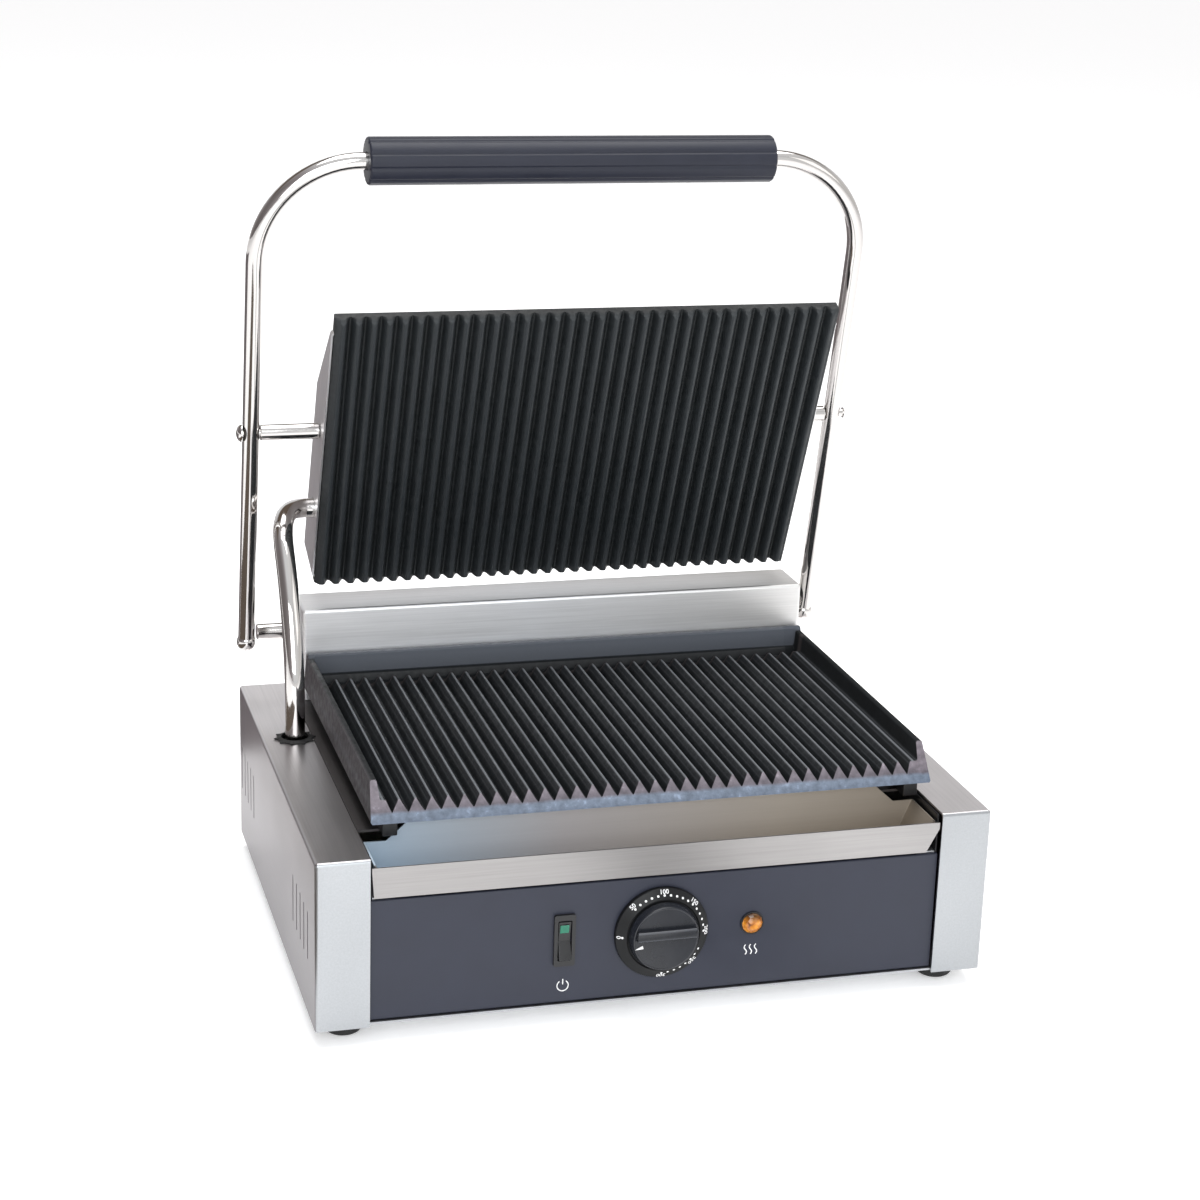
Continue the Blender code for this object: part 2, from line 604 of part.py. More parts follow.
def upper_plate(plate):
    half = UPPER_W / 2 - THIN - GAP - 0.0001
    tips = -PIVOT_BACK
    valley, back = tips + 0.0052, tips + 0.0090
    ribs = rib_points(UPPER_RIBS, UPPER_RIB_X - UPPER_X, tips, valley)[1:-1]
    outline = [(half, back), (half, tips + 0.0020), *reversed(ribs), (-half, tips + 0.0042), (-half, back)]
    middle = UPPER_L / 2 - PIVOT_FROM_REAR
    casting = flat(outline, UPPER_L, (UPPER_X, 0.0, middle), "XY")
    pocket_z = CONDUIT_FROM_REAR - PIVOT_FROM_REAR
    pocket = span_box((UPPER_X - half - 0.001, UPPER_X - half + 0.009), (valley + 0.0008, back + 0.001),
                      (pocket_z - NUT_R - 0.001, pocket_z + NUT_R + 0.001))
    cut(casting, pocket, plate)
    place(casting, "upper_grill_plate", plate, IRON)

    heater_y = back + 0.0004 + 0.0031
    path = [(x + UPPER_X, heater_y, z - 0.012) for x, z in serpentine(0.105, 0.062, 4)]
    place(rod_curve(path, 0.0031), "upper_heater", plate, ZINC)
    clamp_y = heater_y + 0.0034
    clamp = span_box((UPPER_X - 0.118, UPPER_X + 0.118), (clamp_y, clamp_y + 0.0015), (-0.084, 0.052))
    place(clamp, "upper_heater_clamp", plate, STEEL)

    for word, side in (("left", -1), ("right", 1)):
        outer = UPPER_X + side * (UPPER_W / 2 - THIN - GAP)
        block = span_box(sorted((outer, outer - side * 0.016)), (back + GAP, 0.011), (-0.010, 0.010))
        cut(block, cylinder(0.0028, 0.05, (outer, 0.0, 0.0), "X", 16), plate)
        place(block, f"pivot_block_{word}", plate, ZINC)


def conduit(plate):
    path = conduit_path()
    tube = rod_curve(path, CONDUIT_R, 3, caps=False)
    thicken(tube, CONDUIT_WALL)
    place(tube, "conduit_tube", plate, CHROME)
    place(rod_curve(path[1:-1], 0.0030), "upper_heater_lead", plate, BLACK)
    end = path[-1]
    inner_face = UPPER_X - UPPER_W / 2 + THIN + GAP
    nut = sleeve(NUT_R, (CONDUIT_R + GAP) / HEX, inner_face, inner_face + NUT_T, (end.y, end.z), None, 6)
    place(nut, "conduit_locknut", plate, BRASS)


# ---- controls ------------------------------------------------------------------------------------
def switch(root, rocker_axis):
    face = PANEL_Y - GAP
    body = span_box((SWITCH_X - SWITCH_W / 2, SWITCH_X + SWITCH_W / 2), (face - 0.0020, face),
                    (CONTROL_Z - SWITCH_H / 2, CONTROL_Z + SWITCH_H / 2))
    round_edges(body, 0.0006, 1)
    rear = span_box((SWITCH_X - 0.0052, SWITCH_X + 0.0052), (face - 0.0010, face + 0.0200),
                    (CONTROL_Z - 0.0140, CONTROL_Z + 0.0140))
    join(body, rear, root)
    pocket = span_box((SWITCH_X - 0.0042, SWITCH_X + 0.0042), (face - 0.0060, face + 0.0060),
                      (CONTROL_Z - 0.0127, CONTROL_Z + 0.0127))
    cut(body, pocket, root)
    place(body, "switch_body", root, BLACK)

    # a rocker of two faces that meet at its middle, held with its upper half pressed in
    half, lift, deep = 0.0118, 0.0024, 0.0024
    outline = [(0.0000, 0.0), (-lift, -half), (deep, -half), (deep, half), (-lift, half)]
    rocker = flat(outline, 0.0076, (0.0, 0.0, 0.0), "YZ")
    rocker.rotation_euler.rotate(Euler((math.radians(-6.0), 0.0, 0.0)))
    place(rocker, "rocker", rocker_axis, BLACK)


def thermostat(root, knob_axis):
    face = PANEL_Y - GAP
    dial = [(DIAL_R - 0.0049, 0.0), (DIAL_R - 0.0043, -0.0004), (DIAL_R - 0.0002, 0.0010 - DIAL_T),
            (DIAL_R, 0.0006 - DIAL_T), (DIAL_R, -DIAL_T), (0.0048, -DIAL_T), (0.0048, 0.0)]
    dial_plate = turned(dial, (DIAL_X, face - DIAL_T, CONTROL_Z), (90, 0, 0), 40, ring=True)
    place(dial_plate, "dial_plate", root, BLACK)

    body = span_box((DIAL_X - 0.018, DIAL_X + 0.018), (PANEL_Y + SHEET + GAP, -0.1180),
                    (CONTROL_Z - 0.018, CONTROL_Z + 0.018))
    cut(body, cylinder(0.0036, 0.020, (DIAL_X, PANEL_Y, CONTROL_Z), "Y", 16), root)
    place(body, "thermostat_body", root, ZINC)

    # the knob's local Z points out of the panel; its hub takes the spindle from behind
    rim = KNOB_R
    profile = [(0.0, KNOB_FACE), (rim - 0.0018, KNOB_FACE), (rim - 0.0010, KNOB_FACE - 0.0008), (rim, 0.0),
               (0.0036, 0.0), (0.0036, 0.0038), (0.0, 0.0038)]
    knob = turned(profile, (0.0, 0.0, 0.0), (0, 0, 0), 40)
    bar = span_box((-rim + 0.0034, rim - 0.0034), (KNOB_BAR_UP - 0.0032, KNOB_BAR_UP + 0.0032),
                   (KNOB_FACE - 0.0010, KNOB_D))
    join(knob, bar, knob_axis)
    place(knob, "knob", knob_axis, BLACK)

    # its axis lies GAP in front of the dial plate, so local Z runs back into the thermostat below zero
    spindle = turned([(0.0, 0.0035), (0.0030, 0.0035), (0.0030, -0.0160), (0.0, -0.0160)], steps=16)
    place(spindle, "thermostat_spindle", knob_axis, BRASS)

    bulb = [(DIAL_X + 0.010, -0.1180 + 0.0015, CONTROL_Z), (DIAL_X + 0.010, -0.1080, CONTROL_Z),
            (PLATE_X, -0.0900, CONTROL_Z + 0.004), (PLATE_X, SENSOR_Y - 0.0200, CONTROL_Z + 0.004),
            (PLATE_X, SENSOR_Y - 0.0020, CONTROL_Z + 0.012), (PLATE_X, SENSOR_Y, CONTROL_Z + 0.024),
            (PLATE_X, SENSOR_Y, LOWER_Z - 0.0006)]
    place(rod_curve(bulb, 0.0012, 1), "capillary", root, BRASS)


def indicator(root):
    face = PANEL_Y - GAP
    dome = [(0.0, 0.0050), (0.0025, 0.0046), (0.0046, 0.0033), (0.0058, 0.0014), (0.0064, 0.0), (0.0, 0.0)]
    place(turned(dome, (LAMP_X, face, CONTROL_Z), (90, 0, 0), 20), "indicator_lens", root, AMBER)
    holder = [(0.0, 0.0), (0.0053, 0.0), (0.0053, -0.0220), (0.0, -0.0220)]
    place(turned(holder, (LAMP_X, PANEL_Y, CONTROL_Z), (90, 0, 0), 16), "indicator_holder", root, BLACK)


def electrics(root):
    block = span_box((GLAND_X - 0.022, GLAND_X + 0.022), (0.090, 0.115), (0.0028, 0.0240))
    for i in range(3):
        x = GLAND_X - 0.013 + 0.013 * i
        cut(block, cylinder(0.0028, 0.012, (x, 0.1025, 0.0240), sides=10), root)
    place(block, "terminal_block", root, CERAMIC)

    # the gland screws in from behind the panel; its bore takes the supply cord
    gland = [(0.0108, 0.0150), (0.0120, 0.0120), (0.0120, 0.0018), (GLAND_R, 0.0018), (GLAND_R, -0.0100),
             (0.0045, -0.0100), (0.0045, 0.0150)]
    place(turned(gland, (GLAND_X, 0.1485, GLAND_Z), (-90, 0, 0), 16, ring=True), "cord_gland", root, BLACK)
    bore = (GLAND_R + GAP) / HEX
    nut = [(0.0125, -0.0005), (0.0125, -0.0050), (bore, -0.0050), (bore, -0.0005)]
    place(turned(nut, (GLAND_X, 0.1485, GLAND_Z), (-90, 0, 0), 6, ring=True), "gland_locknut", root, BLACK)


def build():
    root = empty("base_origin", (BODY_X, BODY_Y, FOOT_H))
    handle = empty("handle_axis", (0.0, SHAFT_Y, SHAFT_Z), root, HANDLE_LEAN)
    pivot = empty("pivot_axis", (0.0, 0.0, PIVOT_S), handle, 0.0)
    plate = empty("plate_axis", (0.0, 0.0, 0.0), pivot, PLATE_LEAN - HANDLE_LEAN)
    tray = empty("tray_axis", (0.0, TRAY_FRONT, TRAY_BOTTOM), root)
    knob_axis = empty("knob_axis", (DIAL_X, PANEL_Y - 2 * GAP - DIAL_T, CONTROL_Z), root, 90.0)
    rocker_axis = empty("rocker_axis", (SWITCH_X, PANEL_Y - 0.0012, CONTROL_Z), root)

    side_cover("left_cover", -1, root)
    side_cover("right_cover", 1, root)
    base_sheets(root)
    front_panel(root)
    feet(root)
    drip_tray(tray)
    tray_runners(root)
    lower_plate(root)
    lower_heating(root)
    hinge(root, handle)
    handle_rod(handle)
    plate_pivots(pivot)
    upper_cover(plate)
    upper_plate(plate)
    conduit(plate)
    switch(root, rocker_axis)
    thermostat(root, knob_axis)
    indicator(root)
    electrics(root)


build()
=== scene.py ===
"""Looks of the panini press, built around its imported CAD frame.

Pieces are modelled on four sets of axes: BASE (bottom centre of the base), HANDLE (the hinge
shaft, Z up the arms), PLATE (the upper plate's pivot, Z to its front edge, Y away from its ribs)
and each control's own. Metres throughout.
"""
import json
import math

import bmesh
import bpy
from mathutils import Matrix, Vector


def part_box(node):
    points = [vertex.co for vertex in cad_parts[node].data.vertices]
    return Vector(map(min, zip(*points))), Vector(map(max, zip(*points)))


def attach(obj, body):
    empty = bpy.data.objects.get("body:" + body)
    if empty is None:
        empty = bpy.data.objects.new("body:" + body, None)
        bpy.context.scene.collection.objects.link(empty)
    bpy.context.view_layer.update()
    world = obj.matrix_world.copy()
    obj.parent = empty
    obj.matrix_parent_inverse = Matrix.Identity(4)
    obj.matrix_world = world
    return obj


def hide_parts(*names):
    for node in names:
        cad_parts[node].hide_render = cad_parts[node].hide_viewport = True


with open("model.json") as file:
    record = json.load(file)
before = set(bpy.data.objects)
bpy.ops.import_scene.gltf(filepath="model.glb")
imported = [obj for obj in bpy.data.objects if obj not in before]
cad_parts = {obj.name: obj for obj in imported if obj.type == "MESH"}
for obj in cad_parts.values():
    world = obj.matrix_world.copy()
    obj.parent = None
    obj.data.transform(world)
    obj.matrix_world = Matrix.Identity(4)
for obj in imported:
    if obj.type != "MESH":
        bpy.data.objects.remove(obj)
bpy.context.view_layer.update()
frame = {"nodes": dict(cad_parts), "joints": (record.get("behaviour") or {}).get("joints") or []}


# ---- axes ----
joints = {joint["name"]: joint for joint in frame["joints"]}
HANDLE_LEAN = math.radians(11.6)
PLATE_LEAN = math.radians(22.8)

left_low, left_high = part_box("left_cover")
right_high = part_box("right_cover")[1]
CENTRE = Vector(((left_low.x + right_high.x) / 2, (left_low.y + left_high.y) / 2, left_low.z))
BASE = Matrix.Translation(CENTRE)


def at(x, y=0.0, z=0.0):
    return Matrix.Translation((x, y, z))


def leaning(joint, angle):
    """Axes on a joint's line, in the middle of the base, leaning forward by angle."""
    return at(CENTRE.x, *joints[joint]["pos_m"][1:]) @ Matrix.Rotation(angle, 4, "X")


HANDLE = leaning("handle_lift", HANDLE_LEAN)
PLATE = leaning("plate_tilt", PLATE_LEAN)
KNOB = leaning("knob_turn", math.radians(90.0))
Z_TO_RIGHT = Matrix.Rotation(math.radians(90), 4, "Y")     # turns that carry a piece's own Z
Z_TO_FRONT = Matrix.Rotation(math.radians(90), 4, "X")


def extent(node, place):
    """A CAD node's lowest and highest corner on the given axes."""
    back = place.inverted()
    points = [back @ vert.co for vert in frame["nodes"][node].data.vertices]
    low = Vector([min(point[i] for point in points) for i in range(3)])
    high = Vector([max(point[i] for point in points) for i in range(3)])
    return low, high


# ---- shapes ----
def linked(name, data):
    obj = bpy.data.objects.new(name, data)
    bpy.context.scene.collection.objects.link(obj)
    return obj


def from_bmesh(name, bm):
    bmesh.ops.recalc_face_normals(bm, faces=bm.faces)
    mesh = bpy.data.meshes.new(name)
    bm.to_mesh(mesh)
    bm.free()
    return linked(name, mesh)


def modify(obj, kind, **settings):
    step = obj.modifiers.new(kind.lower(), kind)
    for name, value in settings.items():
        setattr(step, name, value)
    return obj


def settle(obj):
    """Apply an object's modifiers."""
    bpy.context.view_layer.update()
    evaluated = obj.evaluated_get(bpy.context.evaluated_depsgraph_get())
    mesh = bpy.data.meshes.new_from_object(evaluated)
    obj.modifiers.clear()
    obj.data = mesh
    return obj


def combine(obj, other, operation):
    settle(other)
    modify(obj, "BOOLEAN", operation=operation, object=other, solver="EXACT")
    settle(obj)
    bpy.data.objects.remove(other, do_unlink=True)
    return obj


def cut(obj, other):
    return combine(obj, other, "DIFFERENCE")


def join(obj, other):
    return combine(obj, other, "UNION")


def moved(obj, matrix):
    obj.data.transform(matrix)
    return obj


def drill(obj, radius, where, reach=0.01):
    """Cut a round hole along the Z of where."""
    hole = turned("hole", ((0.0, -reach), (radius, -reach), (radius, reach), (0.0, reach)))
    return cut(obj, moved(hole, where))


def soften(obj, width, segments=2, angle=40.0):
    """Round the sharp edges."""
    return modify(obj, "BEVEL", width=width, segments=segments, limit_method="ANGLE",
                  angle_limit=math.radians(angle), use_clamp_overlap=True)


def block(name, low, high):
    bm = bmesh.new()
    bmesh.ops.create_cube(bm, size=1.0)
    for vert in bm.verts:
        for i in range(3):
            vert.co[i] = (low[i] + high[i]) / 2 + vert.co[i] * (high[i] - low[i])
    return from_bmesh(name, bm)


def on_plane(a, b, depth, plane):
    return {"XY": (a, b, depth), "XZ": (a, depth, b), "YZ": (depth, a, b)}[plane]


def slab(name, outline, start, end, plane):
    """A flat outline in plane XY, XZ or YZ, extruded from start to end."""
    bm = bmesh.new()
    rings = [[bm.verts.new(on_plane(a, b, depth, plane)) for a, b in outline] for depth in (start, end)]
    bm.faces.new(rings[0])
    bm.faces.new(reversed(rings[1]))
    for i in range(len(outline)):
        j = (i + 1) % len(outline)
        bm.faces.new((rings[0][i], rings[0][j], rings[1][j], rings[1][i]))
    return from_bmesh(name, bm)


def loft(name, loops, caps=True, closed=True):
    """A skin through loops that have as many points as each other."""
    bm = bmesh.new()
    rings = [[bm.verts.new(point) for point in loop] for loop in loops]
    count = len(rings[0])
    for first, second in zip(rings, rings[1:]):
        for i in range(count if closed else count - 1):
            j = (i + 1) % count
            bm.faces.new((first[i], first[j], second[j], second[i]))
    if caps:
        bm.faces.new(reversed(rings[0]))
        bm.faces.new(rings[-1])
    return from_bmesh(name, bm)


def turned(name, profile, steps=48, closed=False):
    """A profile of (radius, height) turned about Z."""
    bm = bmesh.new()
    rings = []
    for radius, height in profile:
        ring = []
        for k in range(steps):
            angle = 2 * math.pi * k / steps
            ring.append(bm.verts.new((radius * math.cos(angle), radius * math.sin(angle), height)))
        rings.append(ring)
    pairs = list(zip(rings, rings[1:]))
    if closed:
        pairs.append((rings[-1], rings[0]))
    for first, second in pairs:
        for k in range(steps):
            j = (k + 1) % steps
            bm.faces.new((first[k], first[j], second[j], second[k]))
    bmesh.ops.remove_doubles(bm, verts=bm.verts, dist=0.000001)
    return from_bmesh(name, bm)


def tube(name, points, radius, resolution=8, caps=True):
    curve = bpy.data.curves.new(name, "CURVE")
    curve.dimensions = "3D"
    curve.bevel_depth = radius
    curve.bevel_resolution = resolution
    curve.use_fill_caps = caps
    spline = curve.splines.new("POLY")
    spline.points.add(len(points) - 1)
    for point, target in zip(spline.points, points):
        point.co = (*target, 1.0)
    source = linked(name, curve)
    bpy.context.view_layer.update()
    mesh = bpy.data.meshes.new_from_object(source.evaluated_get(bpy.context.evaluated_depsgraph_get()))
    bpy.data.objects.remove(source, do_unlink=True)
    bm = bmesh.new()
    bm.from_mesh(mesh)
    bmesh.ops.remove_doubles(bm, verts=bm.verts, dist=0.000001)
    return from_bmesh(name, bm)


def arc(centre, radius, start, end, steps):
    """Points of an arc, in degrees from the first axis."""
    points = []
    for k in range(steps + 1):
        angle = math.radians(start + (end - start) * k / steps)
        points.append((centre[0] + radius * math.cos(angle), centre[1] + radius * math.sin(angle)))
    return points


def rounded_box(width, height, radius, steps=6):
    """A rectangle's outline about the origin, with round corners."""
    a, b = width / 2 - radius, height / 2 - radius
    return (arc((a, b), radius, 0, 90, steps) + arc((-a, b), radius, 90, 180, steps)
            + arc((-a, -b), radius, 180, 270, steps) + arc((a, -b), radius, 270, 360, steps))


def around(x, y, outline):
    """An outline moved from the origin to a point."""
    return [(x + a, y + b) for a, b in outline]


def in_sheet(obj, is_open, fold, sheet, segments=5):
    """Turn a closed shape into sheet with round folds, without the faces that is_open picks."""
    bm = bmesh.new()
    bm.from_mesh(obj.data)
    bm.normal_update()
    bmesh.ops.delete(bm, geom=[face for face in bm.faces if is_open(face)], context="FACES")
    folds = [edge for edge in bm.edges if not edge.is_boundary]
    bmesh.ops.bevel(bm, geom=folds, offset=fold, segments=segments, profile=0.5, affect="EDGES")
    bm.to_mesh(obj.data)
    bm.free()
    modify(obj, "SOLIDIFY", thickness=sheet, offset=-1.0, use_even_offset=True)
    return settle(obj)


def folded_box(name, low, high, open_sides, fold, sheet):
    """A box of folded sheet, open on the named sides, such as '-Z'."""
    def is_open(face):
        axis = max(range(3), key=lambda i: abs(face.normal[i]))
        return ("+" if face.normal[axis] > 0 else "-") + "XYZ"[axis] in open_sides

    return in_sheet(block(name, low, high), is_open, fold, sheet)


def from_node(name, node):
    """A copy of a CAD node's own shape, welded, to be refined."""
    bm = bmesh.new()
    bm.from_mesh(frame["nodes"][node].data)
    bmesh.ops.remove_doubles(bm, verts=bm.verts, dist=0.00001)
    bmesh.ops.dissolve_limit(bm, angle_limit=0.005, verts=bm.verts, edges=bm.edges)
    return from_bmesh(name, bm)


def shade(obj, angle=35.0):
    """Smooth shading that keeps the edges sharper than angle, and flat faces flat."""
    settle(obj)
    obj.data.shade_smooth()
    obj.data.set_sharp_from_angle(angle=math.radians(angle))
    modify(obj, "WEIGHTED_NORMAL", keep_sharp=True)
    return settle(obj)


def show(obj, place, body, look, nodes=(), angle=35.0):
    """Shade a finished piece, place it and let it ride on its body in the place of CAD nodes."""
    if obj.type == "MESH":
        shade(obj, angle)
    obj.data.materials.clear()
    obj.data.materials.append(look)
    obj.matrix_world = place
    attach(obj, body)
    if nodes:
        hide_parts(*nodes)
    return obj


# ---- materials ----
def add(tree, kind, inputs=None, **settings):
    """A shader node; an input gets a value, or another node's output to link."""
    made = tree.nodes.new(kind)
    for name, value in settings.items():
        setattr(made, name, value)
    for name, value in (inputs or {}).items():
        if isinstance(value, bpy.types.NodeSocket):
            tree.links.new(value, made.inputs[name])
        else:
            made.inputs[name].default_value = value
    return made


def new_look(name, colour, roughness, metallic=0.0, **sockets):
    look = bpy.data.materials.new(name)
    look.use_nodes = True
    tree = look.node_tree
    shader = tree.nodes["Principled BSDF"]
    shader.inputs["Base Color"].default_value = (*colour, 1.0)
    shader.inputs["Roughness"].default_value = roughness
    shader.inputs["Metallic"].default_value = metallic
    for socket, value in sockets.items():
        shader.inputs[socket.replace("_", " ")].default_value = value
    look.diffuse_color = (*colour, 1.0)
    return look, tree, shader


def texture(tree, scale, detail=3.0, roughness=0.5, stretch=(1.0, 1.0, 1.0)):
    """Noise on the piece's own axes; stretch multiplies its frequency along each axis."""
    where = add(tree, "ShaderNodeTexCoord")
    mapping = add(tree, "ShaderNodeMapping", {"Vector": where.outputs["Object"], "Scale": stretch})
    noise = add(tree, "ShaderNodeTexNoise",
                {"Vector": mapping.outputs["Vector"], "Scale": scale, "Detail": detail,
                 "Roughness": roughness})
    return noise.outputs["Fac"]


def span(tree, value, low, high):
    """0 to 1 between two values."""
    made = add(tree, "ShaderNodeMapRange", {"Value": value, "From Min": low, "From Max": high})
    return made.outputs["Result"]


def own_axes(tree):
    """The place on the piece's own axes, as x, y and z."""
    where = add(tree, "ShaderNodeTexCoord")
    return add(tree, "ShaderNodeSeparateXYZ", {"Vector": where.outputs["Object"]}).outputs


def height(tree, axis, low, high):
    """0 to 1 between two heights along one of the piece's own axes."""
    return span(tree, own_axes(tree)[axis], low, high)


def graded(tree, factor, stops):
    """A colour ramp through (position, colour) stops."""
    ramp = add(tree, "ShaderNodeValToRGB", {"Fac": factor})
    elements = ramp.color_ramp.elements
    while len(elements) < len(stops):
        elements.new(0.5)
    for element, (position, colour) in zip(elements, stops):
        element.position = position
        element.color = (*colour, 1.0) if isinstance(colour, tuple) else (colour, colour, colour, 1.0)
    return ramp.outputs["Color"]


def math_node(tree, operation, *values):
    made = add(tree, "ShaderNodeMath", operation=operation)
    for socket, value in zip(made.inputs, values):
        if isinstance(value, bpy.types.NodeSocket):
            tree.links.new(value, socket)
        else:
            socket.default_value = value
    return made.outputs["Value"]


def mixed(tree, factor, first, second, blend="MIX"):
    made = add(tree, "ShaderNodeMix", data_type="RGBA", blend_type=blend)
    for socket, value in ((made.inputs[0], factor), (made.inputs[6], first), (made.inputs[7], second)):
        if isinstance(value, bpy.types.NodeSocket):
            tree.links.new(value, socket)
        else:
            socket.default_value = (*value, 1.0) if isinstance(value, tuple) else value
    return made.outputs[2]


def give(shader, **values):
    """Link values to the shader's inputs, named with _ for each space."""
    for name, value in values.items():
        shader.id_data.links.new(value, shader.inputs[name.replace("_", " ")])


def times(tree, first, second):
    return mixed(tree, 1.0, first, second, "MULTIPLY")


def bumped(tree, shader, heights):
    """Bump from (height, strength, distance) layers, stacked."""
    normal = None
    for value, strength, distance in heights:
        layer = add(tree, "ShaderNodeBump", {"Height": value, "Strength": strength, "Distance": distance})
        if normal:
            tree.links.new(normal, layer.inputs["Normal"])
        normal = layer.outputs["Normal"]
    give(shader, Normal=normal)


def brushed(name, colour, roughness, grain, cloud=0.10, dark=0.80):
    """Sheet steel brushed along the axis where grain is small, with soft uneven patches."""
    look, tree, shader = new_look(name, colour, roughness, 1.0)
    lines = texture(tree, 1.0, 4.0, 0.6, grain)
    patches = texture(tree, 1.0, 2.0, stretch=(9.0, 9.0, 5.0))
    deep = tuple(channel * dark for channel in colour)
    tone = graded(tree, patches, ((0.30, deep), (0.66, colour)))
    lined = graded(tree, lines, ((0.25, 0.86), (0.75, 1.0)))
    give(shader, Base_Color=times(tree, tone, lined))
    rough = math_node(tree, "MULTIPLY_ADD", lines, cloud, roughness - cloud / 2)
    give(shader, Roughness=rough)
    bumped(tree, shader, ((lines, 0.10, 0.0002),))
    return look


def painted(look):
    """A finished look's tree and shader, and what colours it."""
    shader = look.node_tree.nodes["Principled BSDF"]
    return look.node_tree, shader, shader.inputs["Base Color"].links[0].from_socket


def tray_steel(low, high):
    """The tray's steel: paler behind its front face, on the rear wall and trough, as a painted highlight,
    light blue at the left as a painted sheen, turning to brown patina at the right.
    """
    look = brushed("tray_steel", (0.385, 0.372, 0.368), 0.30, (14.0, 900.0, 900.0), cloud=0.08, dark=0.85)
    tree, shader, was = painted(look)
    # painted light: the trough is painted paler and bluish at the left, a painted highlight and sheen; the
    # brown toward the right is patina
    across = graded(tree, height(tree, "X", low.x, high.x),
                    ((0.0, (0.53, 0.62, 0.70)), (0.35, (0.54, 0.52, 0.52)), (0.75, (0.53, 0.485, 0.43)),
                     (0.96, (0.45, 0.40, 0.34))))
    behind = height(tree, "Y", low.y + 0.003, low.y + 0.005)
    give(shader, Base_Color=mixed(tree, behind, was, across))
    rough = shader.inputs["Roughness"].links[0].from_socket
    give(shader, Roughness=math_node(tree, "MULTIPLY_ADD", behind, 0.42, rough))
    return look


def chromed(name, colour, roughness=0.05):
    look, tree, shader = new_look(name, colour, roughness, 1.0)
    marks = texture(tree, 1.0, 4.0, 0.6, (60.0, 60.0, 25.0))
    rough = graded(tree, marks, ((0.35, roughness), (0.75, roughness + 0.07)))
    give(shader, Roughness=rough)
    waves = texture(tree, 1.0, 1.0, stretch=(14.0, 14.0, 14.0))
    scratches = texture(tree, 1.0, 2.0, stretch=(900.0, 900.0, 60.0))
    bumped(tree, shader, ((waves, 0.05, 0.0008), (scratches, 0.02, 0.0001)))
    return look


def cast_iron(name, valley, tip, axis, low, high, roughness, tip_highlight_span):
    """Seasoned cast iron: grainy, with its rib tips painted lighter as a painted highlight."""
    look, tree, shader = new_look(name, valley, roughness, 0.0, Specular_IOR_Level=0.5)
    fine = texture(tree, 900.0, 3.0, 0.6)
    coarse = texture(tree, 210.0, 3.0, 0.6)
    stain = texture(tree, 38.0, 3.0, 0.6)
    rise = height(tree, axis, low, high)
    # painted highlight: the colour turns lighter toward the rib tips and darker toward the valleys
    tip_highlight = graded(tree, math_node(tree, "ADD", rise, math_node(tree, "MULTIPLY", stain, 0.10)),
                  ((tip_highlight_span[0], 0.0), (tip_highlight_span[1], 1.0)))
    body = times(tree, valley, graded(tree, stain, ((0.30, 0.75), (0.70, 1.25))))
    give(shader, Base_Color=mixed(tree, tip_highlight, body, tip))
    give(shader, Roughness=graded(tree, coarse, ((0.30, roughness - 0.10), (0.70, roughness + 0.12))))
    bumped(tree, shader, ((coarse, 0.35, 0.0004), (fine, 0.30, 0.0002)))
    return look


def moulded(name, colour, roughness, grain=1400.0, strength=0.12, mottle=0.15, **sockets):
    """Moulded plastic or rubber, or paint, with a fine grain."""
    look, tree, shader = new_look(name, colour, roughness, 0.0, **sockets)
    fine = texture(tree, grain, 3.0)
    soft = texture(tree, 45.0, 3.0)
    tone = graded(tree, soft, ((0.30, 1.0 - mottle), (0.70, 1.0 + mottle)))
    give(shader, Base_Color=times(tree, colour, tone))
    give(shader, Roughness=graded(tree, soft, ((0.30, roughness - 0.05), (0.70, roughness + 0.06))))
    bumped(tree, shader, ((fine, strength, 0.0002),))
    return look


